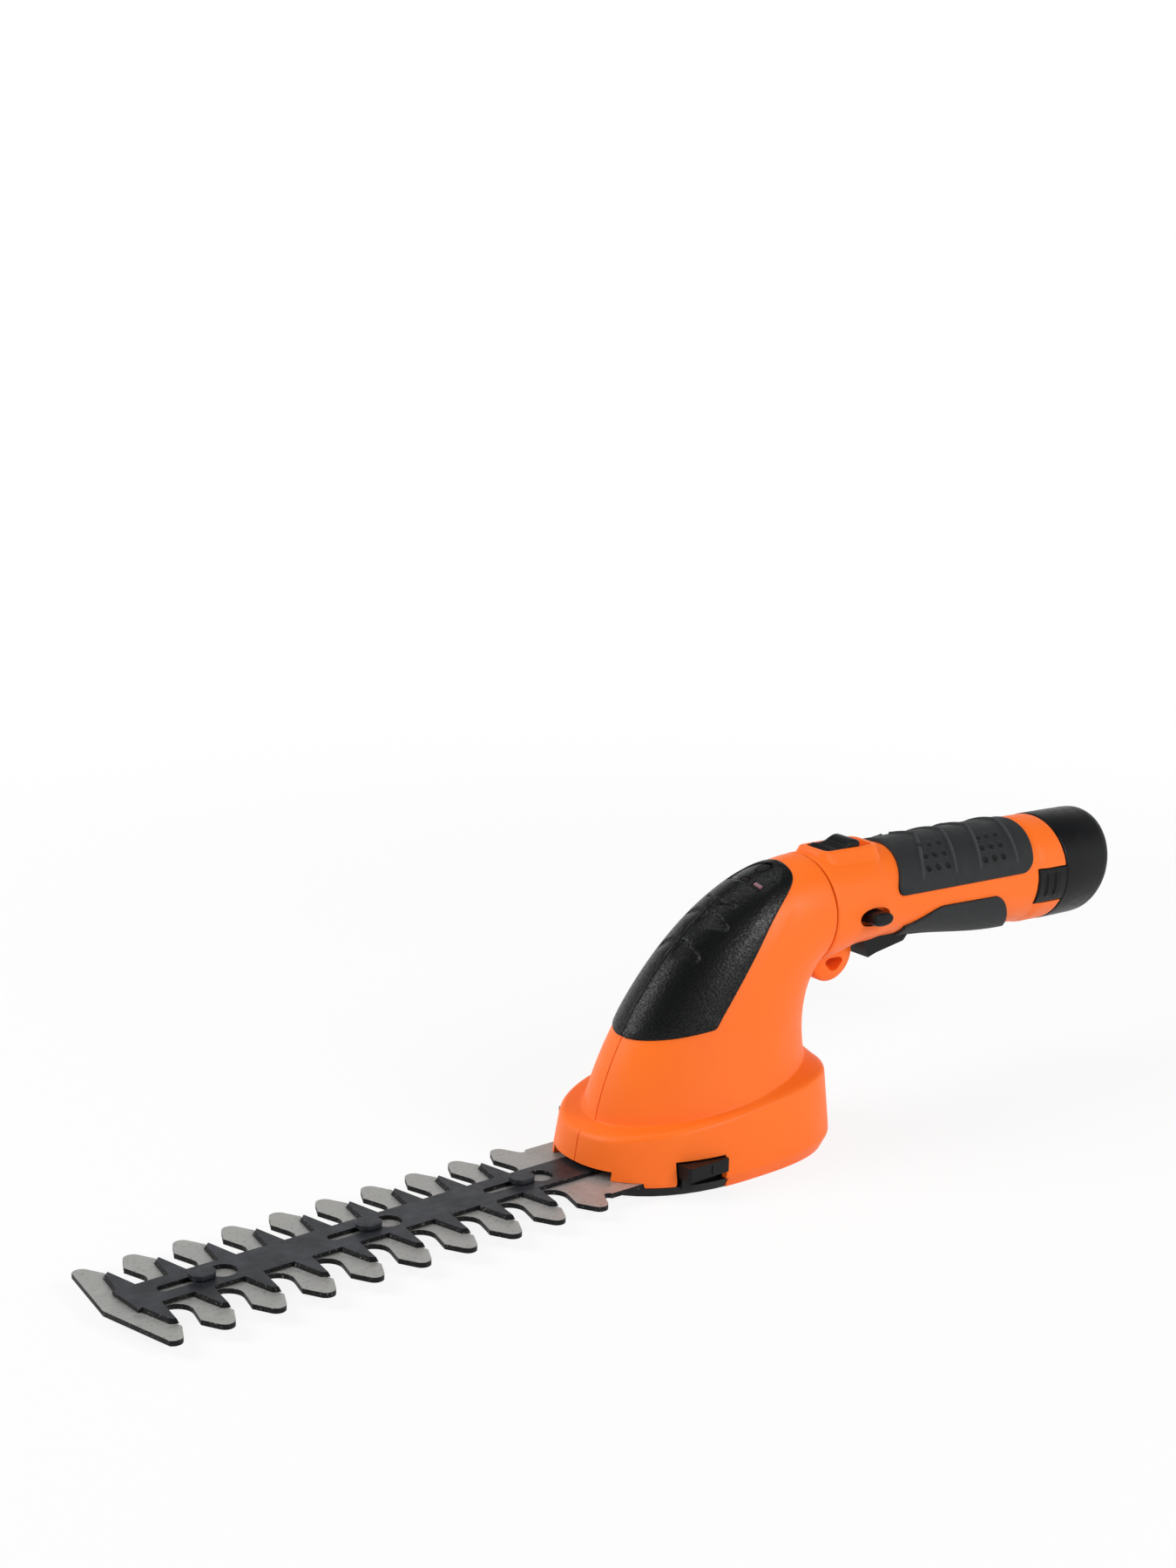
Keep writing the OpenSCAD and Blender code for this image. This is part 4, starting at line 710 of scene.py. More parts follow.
def coverBoundary(count):
    # the edge from the front of the seam along the foot, up the flank and over the top
    f = coverForm
    lowT = curveShare(lambda p: p.y >= coverFrontZ - f["overlap"])
    topT = curveShare(lambda p: p.x >= coverEnd.x + f["overlap"])
    start, stop = bezier(frontCurve, lowT), bezier(frontCurve, topT)
    foot = Vector((start.x + f["footRun"], coverFrontZ + f["footRise"]))
    rounds = [f[key] for key in ("footRound", "cornerRound", "shoulderRound", "endRound")]
    path = roundCorners([start, foot, coverCorner, coverShoulder, coverEnd, stop], dict(enumerate(rounds, 1)))
    lengths = [0.0]
    for a, b in zip(path, path[1:]):
        lengths.append(lengths[-1] + (b - a).length)
    first, span = f["ends"]
    out = []
    for i in range(count):
        at = lengths[-1] * (first + span * i / (count - 1))
        k = max(j for j in range(len(lengths) - 1) if lengths[j] <= at)
        out.append(path[k].lerp(path[k + 1], (at - lengths[k]) / max(1e-9, lengths[k + 1] - lengths[k])))
    flankStart = 1 + f["footRound"][1] + 1 + f["cornerRound"][1]  # where the foot has turned into the flank
    return out, lowT, topT, lengths[flankStart] / lengths[-1]


def onHood(t):
    p = bezier(frontCurve, t)
    slope = bezierSlope(frontCurve, t)
    along = Vector((cos(slope), 0, sin(slope)))
    out = Vector((-sin(slope), 0, cos(slope)))
    return lambda q: Vector((p.x, 0, p.y)) + along * q[0] + Vector((0, q[1], 0)) + out * q[2]


def makeHoodCovers():
    f, g = coverForm, gaugeForm
    first, span = f["ends"]
    edge, lowT, topT, turn = coverBoundary(f["rows"])
    outer, inner = [], []
    for i, q in enumerate(edge):
        k = i / (f["rows"] - 1)
        onFlank = smooth((k - turn) / f["flankRun"])
        facet = f["footShare"] + (1 - f["footShare"]) * onFlank  # shallower at the foot
        foot = f["footRows"]
        bend = k / turn * foot if k < turn else foot + (1 - foot) * (k - turn) / (1 - turn)
        centreT = lowT + (topT - lowT) * (first + span * bend)
        u1, t1 = hoodParameters(q.x, q.y)
        length = max(0.5, (hoodPoint(u1, t1, 0) - hoodPoint(0, centreT, 0)).length)
        rim = min(f["rimW"] / length, f["rimMost"])
        steps = [(j / f["cols"] * (1 - rim), 0) for j in range(f["cols"])]
        steps += [(1 - share * rim, tuck) for share, tuck in f["rim"]]
        rowOut, rowIn = [], []
        for j, (s, tuck) in enumerate(steps):
            u, t = u1 * s, centreT + (t1 - centreT) * s
            skin = hoodPoint(u, t, -f["proud"])
            n = hoodNormal(max(u, 0.01), min(t, 0.99))
            band = max(0, 1 - (1 - s) * length / f["bandW"])  # the facet along the edge
            fall = coverRelief(skin) + f["bandDrop"] * band * facet
            skin = skin - n * (min(fall, f["fallMost"]) + tuck + (f["seam"] if j == 0 else 0.0))
            for p, row in ((skin, rowOut), (hoodPoint(u, t, headForm["wall"]), rowIn)):
                p.y = 0.0 if j == 0 else min(p.y, -f["seamHalf"])
                row.append(p)
        outer.append(rowOut)
        inner.append(rowIn)
    halfX, halfY = (v / 2 + g["gap"] for v in g["button"])
    buttonHole = roundRect(-halfX, halfX, -halfY, halfY, halfY - 0.01, 8)
    ledX, ledY = (v / 2 + g["ledGap"] for v in g["led"])
    through = g["through"]
    for side, sign in sides:
        cover = makeWall("hoodCover_" + side, *sideGrids((outer, inner), sign), grained, 50)
        place = onHood(g["buttonT"])
        rings = [[place((x, y, z)) for x, y in buttonHole] for z in (-through, through)]
        cutters = [makeLoft("cutter", rings, orange)]
        for y in (i * g["ledPitch"] for i in (-1, 0, 1)):
            low, high = (-ledX, y - ledY, -through), (ledX, y + ledY, through)
            cutters.append(boxCutter(low, high, onHood(g["ledT"])))
        cutAway(cover, cutters, 50)
        fit(cover, "head", "hood_cover_" + side)


def makeLenses():
    # three windows whose faces follow the cover, a little below its panel
    g = gaugeForm
    place = onHood(g["ledT"])
    step = 0.01
    speed = (bezier(frontCurve, g["ledT"] + step) - bezier(frontCurve, g["ledT"] - step)).length / (2 * step)
    inset = g["lensDrop"] + coverForm["panelDepth"] - coverForm["proud"]

    def pair(x, y):
        t = g["ledT"] + x / speed
        halfW = abs(hoodPoint(pi / 2, t, inset).y)
        p = hoodPoint(asin(min(1, (abs(y) / halfW) ** (headForm["hoodN"] / 2))), t, inset)
        return (p.x, y, p.z), place((x, y, -g["lensDeep"]))

    wide, deep = g["lens"]
    along = [wide * (k / 6 - 0.5) for k in range(7)]
    windows = []
    for i in (-1, 0, 1):
        across = [i * g["ledPitch"] + deep * (k / 8 - 0.5) for k in range(9)]
        windows.append(makeWall("ledWindow", *wallGrids(along, across, pair), ledTint))
    fit(joinPieces(windows, "ledWindows", 40), "head", "led_lenses")


def makeCheckButton():
    # the visible top is smaller and lower than the solid's, and the stem under it stays as it is
    g = gaugeForm
    button = softCopy("check_button", "checkButtonOval", satin, 0.35, "check_button")
    seat = onHood(g["buttonT"])
    middle, out = seat((0, 0, 0)) * mm, seat((0, 0, 1)) - seat((0, 0, 0))
    for v in button.data.vertices:
        rise = out.dot(v.co - middle)
        if rise > g["stemFrom"] * mm:
            flat = v.co - middle - out * rise
            v.co = middle + flat * g["buttonShare"] + out * (rise - g["buttonDrop"] * mm)


# handle

handleForm = dict(length=133.5, wall=2.0, waist=5.5, waistIn=24, waistOut=(45, 65), sink=0.8, sinkIn=(26, 8),
                  sinkOut=(118, 4), seam=0.6, ends=((0, 0.4), (0.3, 0.12), (0.8, 0)), rows=(2.5, 1.5, 86),
                  columns=60, gripT=1.2, gripGap=0.15)
handleCuts = dict(trigger=((23.5, -12.4, -40), (54.5, 12.4, -8)), slider=((9.1, -3.9, 10), (26.9, 3.9, 40)),
                  lockY=(15, 30), tabY=(12, 30), tabGap=0.3, past=2, screwY=(5, 40))
handleScrews = [(14, 9), (57.5, 13)]
lockForm = dict(x=21.0, z=-0.9, power=2.2, recess=(16.5, 7.6), bolt=(11.0, 5.5), gap=0.25, wall=0.9,
                rimY=21.4, backY=21.2, floorY=18.0, fillet=0.6, wellY=15.0, face=27.3,
                edge=((0, 1.5), (0.08, 1.0), (0.25, 0.6), (0.55, 0.25), (1.0, 0.05), (1.6, 0)))
tabForm = dict(x0=117.0, z=(-9.4, 5.4), thick=1.8, past=0.1, edge=0.8, edgeDrop=0.6, rim=(0, 0.12, 0.35, 0.8),
               ribs=(122.6, 127.6), ribHalf=0.9, ribRise=0.55, ribFlank=0.45, ribZ=(2.6, 1.8), ribEnd=0.6,
               groove=0.3, grooveAt=1.4, grooveHalf=0.5)


def onHandle(q):
    return neck + axis * q[0] + Vector((0, q[1], 0)) + upward * q[2]


def waistDepth(h):
    f = handleForm
    return f["waist"] * smooth(h / f["waistIn"]) * (1 - smooth((h - f["waistOut"][0]) / f["waistOut"][1]))


def sunkDepth(h):
    f = handleForm
    rise, fall = (smooth((h - start) / run) for start, run in (f["sinkIn"], f["sinkOut"]))
    return f["sink"] * rise * (1 - fall)


def handlePoint(u, h, inset):
    # u from the top round the left side to the underside
    r = handleR - sunkDepth(h) - inset
    a = r - (waistDepth(h) if cos(u) < 0 else 0)
    return (h, -r * sin(u), a * cos(u))


def lockOutline(size, grow=0.0, count=48):
    f = lockForm
    turns = [2 * pi * k / count for k in range(count)]
    return [(f["x"] + (size[0] / 2 + grow) * signedPower(cos(a), 2 / f["power"]),
             f["z"] + (size[1] / 2 + grow) * signedPower(sin(a), 2 / f["power"])) for a in turns]


def makeHandleShells():
    f, cuts, lock, tab = handleForm, handleCuts, lockForm, tabForm
    start, step, count = f["rows"]
    rows = [(f["seam"] + d, tuck) for d, tuck in f["ends"]] + [(start + step * i, 0) for i in range(count)]
    rows += [(f["length"] - d, tuck) for d, tuck in f["ends"][::-1]]

    def pair(row, column):
        (h, tuck), (u, seam, shift) = row, column
        points = [handlePoint(u, h, inset) for inset in (tuck + seam, f["wall"])]
        return [(x, y - shift, z) for x, y, z in points]

    grids = wallGrids(rows, seamColumns(f["columns"]), pair)
    hole, well = lock["recess"], lockOutline(lock["bolt"], lock["gap"])
    back = lockOutline(hole, lock["wall"])
    cup = [(lockOutline(hole), lock["rimY"]), (lockOutline(hole), lock["floorY"] + lock["fillet"]),
           (lockOutline(hole, -lock["fillet"]), lock["floorY"]), (well, lock["floorY"]),
           (well, lock["wellY"]), (back, lock["wellY"]), (back, lock["backY"]),
           (lockOutline(hole), lock["rimY"])]
    for side, sign in sides:
        shell = makeWall("handleShell_" + side, *sideGrids(grids, sign, onHandle), orange)
        lockSpan, tabSpan = (sorted(sign * y for y in cuts[key]) for key in ("lockY", "tabY"))
        gap = cuts["tabGap"]
        cutters = [boxCutter(*cuts["trigger"], onHandle), prismCutter(lockOutline(hole), *lockSpan, onHandle),
                   boxCutter(*cuts["slider"], onHandle),
                   boxCutter((tab["x0"] - gap, tabSpan[0], tab["z"][0] - gap),
                             (f["length"] + cuts["past"], tabSpan[1], tab["z"][1] + gap), onHandle)]
        if sign > 0:
            cutters += [prismCutter(circlePoints(x, z, screwHoleR), *cuts["screwY"], onHandle)
                        for x, z in handleScrews]
        cutAway(shell, cutters)
        fit(shell, "handle", "handle_shell_" + side)
        rings = [[onHandle((x, sign * y, z)) for x, z in outline] for outline, y in cup]
        fit(makeLoft("lockRecess_" + side, rings, orange, 40, False), "handle")


def makeLockBolt():
    f = lockForm
    edge = [(f["face"] - d, cut) for d, cut in f["edge"]]
    rows = edge + [(-y, cut) for y, cut in edge[::-1]]
    rings = [[onHandle((x, y, z)) for x, z in lockOutline(f["bolt"], -cut)] for y, cut in rows]
    fit(makeLoft("lockBoltOval", rings, satin, 50), "lock_bolt", "lock_bolt")


bezelForm = dict(x=(3.5, 35.0), halfW=7.8, corner=4, growX=0.4, top=1.4, well=(7.1, 32.9, 6.4), wellRound=2.5,
                 wellDeep=2.6, back=(1, 1.6, 5, 18.0),  # the underside: grows in X and Y, corner and height
                 slope=((5.5, 17.4), (4.0, 18.9), (2.8, 20.2), (1.7, 21.4), (0.8, 22.5), (0.25, 23.2),
                        (-0.2, 23.55), (-0.7, 23.7)))  # how far it stands out, height above the handle's axis


def makeBezel():
    f = bezelForm
    x0, x1 = f["x"]
    wx0, wx1, wy = f["well"]
    backX, backY, backRound, backZ = f["back"]
    rings = []
    for grow, z in f["slope"]:
        growX, half = grow * f["growX"], f["halfW"] + grow
        rings.append((roundRect(x0 - growX, x1 + growX, -half, half, f["corner"] + grow), z))
    well = roundRect(wx0, wx1, -wy, wy, f["wellRound"])
    rings += [(well, handleR + f["top"]), (well, handleR - f["wellDeep"])]
    half = f["halfW"] + backY
    rings.append((roundRect(x0 - backX, x1 + backX, -half, half, backRound), backZ))
    loft = [[onHandle((x, y, z)) for x, y in outline] for outline, z in rings]
    fit(makeLoft("sliderBezel", loft + [loft[0]], orange, 50, False), "handle")


eyeForm = dict(x=13.8, z=-19.0, r=11.5, halfW=7.0, edge=((1, 1.3), (0.86, 0.3), (0.78, 0)), count=56,
               hole=(1.3, -4), reach=1.7, corner=2.0, stretch=(1.35, 0.85))


def makeEye():
    f = eyeForm
    rings = []
    for y, cut in [(-y, cut) for y, cut in f["edge"]] + list(f["edge"][::-1]):
        circle = circlePoints(f["x"], f["z"], f["r"] - cut, f["count"])
        rings.append([onHandle((x, y * f["halfW"], z)) for x, z in circle])
    eye = makeLoft("carryingEye", rings, orange, 50)
    wide, tall = f["stretch"]
    holeX, holeZ = f["x"] + f["hole"][0], f["z"] + f["hole"][1]
    outline = []  # a triangle with round corners
    for a in (-90, 30, 150):
        for b in range(a - 60, a + 61, 20):
            outline.append((holeX + wide * (f["reach"] * cos(radians(a)) + f["corner"] * cos(radians(b))),
                            holeZ + tall * (f["reach"] * sin(radians(a)) + f["corner"] * sin(radians(b)))))
    cutAway(eye, [prismCutter(outline, -20, 20, onHandle)], 50)
    fit(eye, "handle")


sliderForm = dict(x0=7.5, length=20.0, halfW=6.0, corner=3.5, edge=1.1, edgeDrop=0.95,
                  rim=(0, 0.08, 0.25, 0.55, 1.1), steps=(70, 24), hollow=0.35, hollowEnd=(12, 5),
                  ribs=(2.6, 4.4, 6.2, 8.0, 9.8), ribHalf=0.55, ribRise=0.4, ribEnd=(1.2, 0.5),
                  side=((0, 1.3), (2, 2.1), (6, 1.75), (10, 2.3), (13, 3.6), (15.5, 4.1), (18, 3.5),
                        (20, 2.0)),
                  stem=((9.5, -3.5, 17.0), (21.5, 3.5, 22.6)), tongue=((1.2, -6.0, 16.2), (21.5, 6.0, 17.9)))


def sliderHeight(x):
    # smooth curve through the points of the side view
    points = sliderForm["side"]
    k = max(i for i in range(len(points) - 1) if points[i][0] <= x)
    p = [points[max(0, min(len(points) - 1, k + d))] for d in (-1, 0, 1, 2)]
    run = p[2][0] - p[1][0]
    w = (x - p[1][0]) / run
    a, b = ((p[i + 1][1] - p[i - 1][1]) / max(1e-6, p[i + 1][0] - p[i - 1][0]) * run for i in (1, 2))
    h = w * w * (3 - 2 * w)
    return p[1][1] * (1 - h) + p[2][1] * h + a * w * (1 - w) ** 2 - b * w * w * (1 - w)


def makeSlider():
    f = sliderForm
    length, halfW, corner = f["length"], f["halfW"], f["corner"]
    xs = rimmedSteps(0, length, f["rim"], f["steps"][0])
    ys = rimmedSteps(-halfW, halfW, f["rim"], f["steps"][1])

    def pair(x, v):
        short = max(0, corner - min(x, length - x))
        half = halfW - corner + sqrt(corner ** 2 - short ** 2)
        y = v * half / halfW
        hollow = f["hollow"] * (1 - (y / halfW) ** 2) * smooth((f["hollowEnd"][0] - x) / f["hollowEnd"][1])
        top = sliderHeight(min(x, length - 0.001)) - hollow
        for rib in f["ribs"]:
            d = abs(x - rib) / f["ribHalf"]
            if d < 1:
                top += f["ribRise"] * (1 - d * d) * smooth((halfW - f["ribEnd"][0] - abs(y)) / f["ribEnd"][1])
        top -= edgeFall(min(x, length - x, half - abs(y)), f["edge"], f["edgeDrop"])
        return [onHandle((f["x0"] + x, y, z)) for z in (handleR + top, handleR)]

    parts = [makeWall("sliderCap", *wallGrids(xs, ys, pair), satin, 50)]
    parts += [boxPiece("sliderPart", *f[key], satin, onHandle) for key in ("stem", "tongue")]
    fit(joinPieces(parts, "swivelSliderRibbed", 50), "swivel_slider", "swivel_slider")


# soft grips

# the rounded edge of both grips
gripRim = dict(steps=[0, 0.15, 0.4, 0.9, 1.2], edge=0.9, drop=0.7, under=0.1)
gripForm = dict(angle=76.0, front=41.7, frontSweep=9.0, rear=118.5, rearSweep=6.5, corner=5.5, nominal=78.0,
                rows=220, columns=190, columnRim=0.4,
                ridges=((62.5, 16.0), (77.6, 11.5), (92.7, 12.5), (110.7, 8.0)), ridgeRise=0.85,
                ridgeHalf=1.15, ridgeEnd=(66, 6),
                pads=((56.1, 5.6, 24.5, 14.2), (89.0, 5.4, 27.0, 13.7)), padSlant=-1.4,
                dimpleR=1.5, dimpleDepth=1.0, lip=0.14, lipAt=1.3, lipHalf=0.3)


def gripSpan(a):
    f = gripForm
    q = (a / f["angle"]) ** 2
    cornerDeg = degrees(f["corner"] / handleR)
    w = max(0.0, (abs(a) - (f["angle"] - cornerDeg)) / cornerDeg)
    turn = f["corner"] * (1 - sqrt(max(0.0, 1 - w * w)))
    return f["front"] - f["frontSweep"] * q + turn, f["rear"] - f["rearSweep"] * q - turn


def gripRelief(h, a):
    # raised lines that sweep forward down the sides, and two pads of dimples with small lips on each side
    f = gripForm
    side = abs(a)
    rise = 0.0
    fade = smooth((f["ridgeEnd"][0] - side) / f["ridgeEnd"][1])
    for top, sweep in f["ridges"]:
        d = abs(h - (top - sweep * sin(radians(side)))) / f["ridgeHalf"]
        if d < 1:
            rise = max(rise, f["ridgeRise"] * (1 - d * d) ** 2 * fade)
    for h0, pitchH, a0, pitchA in f["pads"]:
        for row, col in ((row, col) for row in range(3) for col in range(3)):
            dx = h - (h0 + pitchH * col + f["padSlant"] * row)
            dy = (side - (a0 + pitchA * row)) * radians(1) * handleR
            d = hypot(dx, dy) / f["dimpleR"]
            if d < 1:
                rise -= f["dimpleDepth"] * sqrt(1 - d * d)
            elif d < f["lipAt"] + f["lipHalf"]:
                rise += f["lip"] * (1 - ((d - f["lipAt"]) / f["lipHalf"]) ** 2)
    return rise


def makeTopGrip():
    f, base, thick = gripForm, handleForm["gripGap"], handleForm["gripT"]
    shares = [x / f["nominal"] for x in rimmedSteps(0, f["nominal"], gripRim["steps"], f["rows"])]
    rimDeg = [degrees(x / handleR) for x in gripRim["steps"][:-1]]
    angles = rimmedSteps(-f["angle"], f["angle"], rimDeg + [rimDeg[-1] + f["columnRim"]], f["columns"])
    relief = []

    def pair(s, a):
        h0, h1 = gripSpan(a)
        h = h0 + (h1 - h0) * s
        border = min(h - h0, h1 - h, (f["angle"] - abs(a)) * radians(1) * handleR)
        rise = gripRelief(h, a) * smooth(border / 2)
        relief.append(max(-1, min(1, rise)))
        lift = base + thick + rise - edgeFall(border, gripRim["edge"], gripRim["drop"])
        radii = [handleR - sunkDepth(h) + lifted for lifted in (lift, base - gripRim["under"])]
        return [onHandle((h, -r * sin(radians(a)), r * cos(radians(a)))) for r in radii]

    grids = wallGrids(shares, angles, pair)
    # the relief attribute also sets the rubber's painted shade in the dimples and painted highlight on the
    # raised lines
    grip = makeWall("topGrip", *grids, rubber, 60, relief + [0.0] * len(relief))
    fit(grip, "handle", "top_grip")


insertForm = dict(front=55.5, rear=111.0, wingFront=41.5, wingAngle=143.0, columns=34, rows=(70, 24),
                  endRim=(0.15, 0.4), edgeAngle=96, frontTurn=(26, 3, 23), rearTurn=(62, 90, 24, 1.2))


def insertEdge(h):
    # angle of the upper edge: it turns down at the front wing and under the palm at the rear
    f = insertForm
    frontBy, ahead, frontRun = f["frontTurn"]
    rearBy, rearFrom, rearRun, power = f["rearTurn"]
    return (f["edgeAngle"] + frontBy * (1 - smooth((h - f["wingFront"] + ahead) / frontRun))
            + rearBy * smooth((h - rearFrom) / rearRun) ** power)


def makeLowerGrip():
    f, base, thick = insertForm, handleForm["gripGap"], handleForm["gripT"]
    near, further = f["endRim"]
    pieces = []
    # the part round the palm, and the wings beside the trigger
    for h0, h1, uEnd, count, isWing in ((f["front"], f["rear"], 180.0, f["rows"][0], False),
                                        (f["wingFront"], f["front"], f["wingAngle"], f["rows"][1], True)):
        hs = [h0 + (h1 - h0) * i / count for i in range(count + 1)]
        hs = [h0, h0 + near, h0 + further] + hs[1:] if isWing else hs[:-1] + [h1 - further, h1 - near, h1]
        outer, under = [], []
        for h in hs:
            top = insertEdge(h)
            width = (uEnd - top) * radians(1) * handleR
            rowOut, rowIn = [], []
            for step in rimmedSteps(0, width, gripRim["steps"], f["columns"], False):
                u = top + (uEnd - top) * (step / width)
                border = min(step, h - h0 if isWing else h1 - h)
                lift = base + thick - edgeFall(border, gripRim["edge"], gripRim["drop"])
                for lifted, row in ((lift, rowOut), (base - gripRim["under"], rowIn)):
                    row.append(handlePoint(radians(u), h, -lifted))
            outer.append(rowOut)
            under.append(rowIn)
        for _, sign in sides:
            grids = sideGrids((outer, under), sign, onHandle)
            pieces.append(makeWall("lowerGripPart", *grids, rubberGrain, 60))
    fit(joinPieces(pieces, "lowerGrip"), "handle", "lower_grip")


# battery

capForm = dict(length=26.5, slant=12.0, start=0.3, grow=0.2, count=96, mouth=(0.02, 10),
               rows=((0, 0.35), (0.012, 0.05), (0.03, 0), (0.5, 0.05), (0.85, 0.14), (0.93, 0.32),
                     (0.962, 0.75), (0.981, 1.35), (0.992, 2.1), (0.998, 3.0), (1.0, 4.2),
                     (1.0, 10), (1.0, 16)))


def makeBatteryCap():
    f = capForm
    start = handleForm["length"] + f["start"]
    turns = [2 * pi * i / f["count"] for i in range(f["count"])]
    mouthX, mouthR = f["mouth"]
    rings = [[onHandle((start + mouthX, -mouthR * sin(u), mouthR * cos(u))) for u in turns]]
    for share, cut in f["rows"]:
        r = handleR + f["grow"] - cut
        ring = []
        for u in turns:
            z = r * cos(u)
            end = handleForm["length"] + f["length"] + tan(radians(f["slant"])) * z
            ring.append(onHandle((start + (end - start) * share, -r * sin(u), z)))
        rings.append(ring)
    fit(makeLoft("batteryCap", rings, satin, 50), "battery", "battery_cap")


def makeBatteryTabs():
    f = tabForm
    z0, z1 = f["z"]
    xs = rimmedSteps(f["x0"], handleForm["length"] + f["past"], f["rim"], 60, False)
    zs = rimmedSteps(z0, z1, f["rim"], 40)
    ribLow, ribHigh = z0 + f["ribZ"][0], z1 - f["ribZ"][1]

    def pair(x, z):
        rise = -edgeFall(min(x - f["x0"], z - z0, z1 - z), f["edge"], f["edgeDrop"])
        inside = smooth((z - ribLow) / f["ribEnd"]) * smooth((ribHigh - z) / f["ribEnd"])
        for ribX in f["ribs"]:
            d = abs(x - ribX) / f["ribHalf"]
            if d < 1:
                rise += f["ribRise"] * smooth((1 - d) / f["ribFlank"]) * inside
            elif d < f["grooveAt"] + f["grooveHalf"]:
                rise -= f["groove"] * (1 - abs(d - f["grooveAt"]) / f["grooveHalf"]) * inside
        return [(x, -sqrt(max(0, r * r - z * z)), z) for r in (handleR + rise, handleR - f["thick"])]

    grids = wallGrids(xs, zs, pair)
    for side, sign in sides:
        tab = makeWall("batteryTab_" + side, *sideGrids(grids, sign, onHandle), satin, 60)
        fit(tab, "battery_latch_" + side, "battery_latch_" + side)


# screws, by geometry nodes

bottomScrews = [(-6, 27), (42, 20)]
screwForm = dict(slotWidth=0.8, slotDepth=1.0, slotShare=1.25, sets={
    # node: (points of the seats, turn, head radius, head height, shank radius, shank length, body)
    "head_screws": ([(x, 5, z) for x, z in headScrews], (-pi / 2, 0, 0), 2.4, 2.0, 1.3, 13, "head"),
    "handle_screws": ([onHandle((x, 5, z)) for x, z in handleScrews], (-pi / 2, 0, 0),
                      2.4, 2.0, 1.3, 11, "handle"),
    "bottom_screws": ([(x, s * y, 1.8) for x, y in bottomScrews for s in (-1, 1)], (pi, 0, 0),
                      2.9, 1.5, 1.3, 8, "head"),
})


def screwTree():
    tree = bpy.data.node_groups.new("crossHeadScrews", "GeometryNodeTree")
    kinds = {"Geometry": "Geometry", "Head Radius": "Float", "Head Height": "Float", "Shank Radius": "Float",
             "Shank Length": "Float", "Slot Width": "Float", "Slot Length": "Float", "Slot Depth": "Float",
             "Turn": "Rotation", "Finish": "Material"}
    for name, kind in kinds.items():
        tree.interface.new_socket(name, in_out="INPUT", socket_type="NodeSocket" + kind)
    tree.interface.new_socket("Geometry", in_out="OUTPUT", socket_type="NodeSocketGeometry")
    given = addNode(tree, "NodeGroupInput").outputs

    def lifted(mesh, height, share):
        rise = addNode(tree, "ShaderNodeMath", {0: height, 1: share}, operation="MULTIPLY").outputs[0]
        way = addNode(tree, "ShaderNodeCombineXYZ", {"Z": rise}).outputs[0]
        moved = addNode(tree, "GeometryNodeTransform", {"Geometry": mesh, "Translation": way})
        return moved.outputs["Geometry"]

    head = addNode(tree, "GeometryNodeMeshCylinder", {"Vertices": 40, "Radius": given["Head Radius"],
                                                      "Depth": given["Head Height"]}, fill_type="NGON")
    shank = addNode(tree, "GeometryNodeMeshCylinder", {"Vertices": 24, "Radius": given["Shank Radius"],
                                                       "Depth": given["Shank Length"]}, fill_type="NGON")
    bars = []
    for x, y in (("Slot Length", "Slot Width"), ("Slot Width", "Slot Length")):
        size = addNode(tree, "ShaderNodeCombineXYZ", {"X": given[x], "Y": given[y], "Z": given["Slot Depth"]})
        bars.append(addNode(tree, "GeometryNodeMeshCube", {"Size": size.outputs[0]}).outputs["Mesh"])
    cross = addNode(tree, "GeometryNodeMeshBoolean", {"Mesh 2": bars[0]}, operation="UNION")
    tree.links.new(bars[1], cross.inputs["Mesh 2"])
    drive = addNode(tree, "GeometryNodeMeshBoolean",
                    {"Mesh 1": lifted(head.outputs["Mesh"], given["Head Height"], 0.5),
                     "Mesh 2": lifted(cross.outputs["Mesh"], given["Head Height"], 1.0)},
                    operation="DIFFERENCE")
    whole = addNode(tree, "GeometryNodeJoinGeometry", {"Geometry": drive.outputs["Mesh"]})
    tree.links.new(lifted(shank.outputs["Mesh"], given["Shank Length"], -0.5), whole.inputs["Geometry"])
    placed = addNode(tree, "GeometryNodeInstanceOnPoints",
                     {"Points": given["Geometry"], "Rotation": given["Turn"],
                      "Instance": whole.outputs["Geometry"]})
    real = addNode(tree, "GeometryNodeRealizeInstances", {"Geometry": placed.outputs["Instances"]})
    painted = addNode(tree, "GeometryNodeSetMaterial", {"Geometry": real.outputs["Geometry"],
                                                        "Material": given["Finish"]})
    addNode(tree, "NodeGroupOutput", {"Geometry": painted.outputs["Geometry"]})
    return tree


def makeScrews(tree, node):
    f = screwForm
    points, turn, headR, headH, shankR, shankL, body = f["sets"][node]
    words = node.split("_")
    mesh = bpy.data.meshes.new(words[0] + words[1].capitalize())
    mesh.from_pydata([Vector(p) * mm for p in points], [], [])
    piece = addObject(mesh.name, mesh)
    maker = piece.modifiers.new("screws", "NODES")
    maker.node_group = tree
    values = {"Head Radius": headR * mm, "Head Height": headH * mm, "Shank Radius": shankR * mm,
              "Shank Length": shankL * mm, "Slot Width": f["slotWidth"] * mm,
              "Slot Length": f["slotShare"] * headR * mm, "Slot Depth": f["slotDepth"] * mm,
              "Turn": turn, "Finish": zinc}
    for item in tree.interface.items_tree:
        if item.in_out == "INPUT" and item.name in values:
            maker[item.identifier] = values[item.name]
    bake(piece, 35)
    fit(piece, body, node)


# floor and backdrop

floorSetup = dict(size=12.0, drop=0.0003, paper="#f4f4f4", nearShare=0.86, nearTo=0.3, farFrom=0.75)


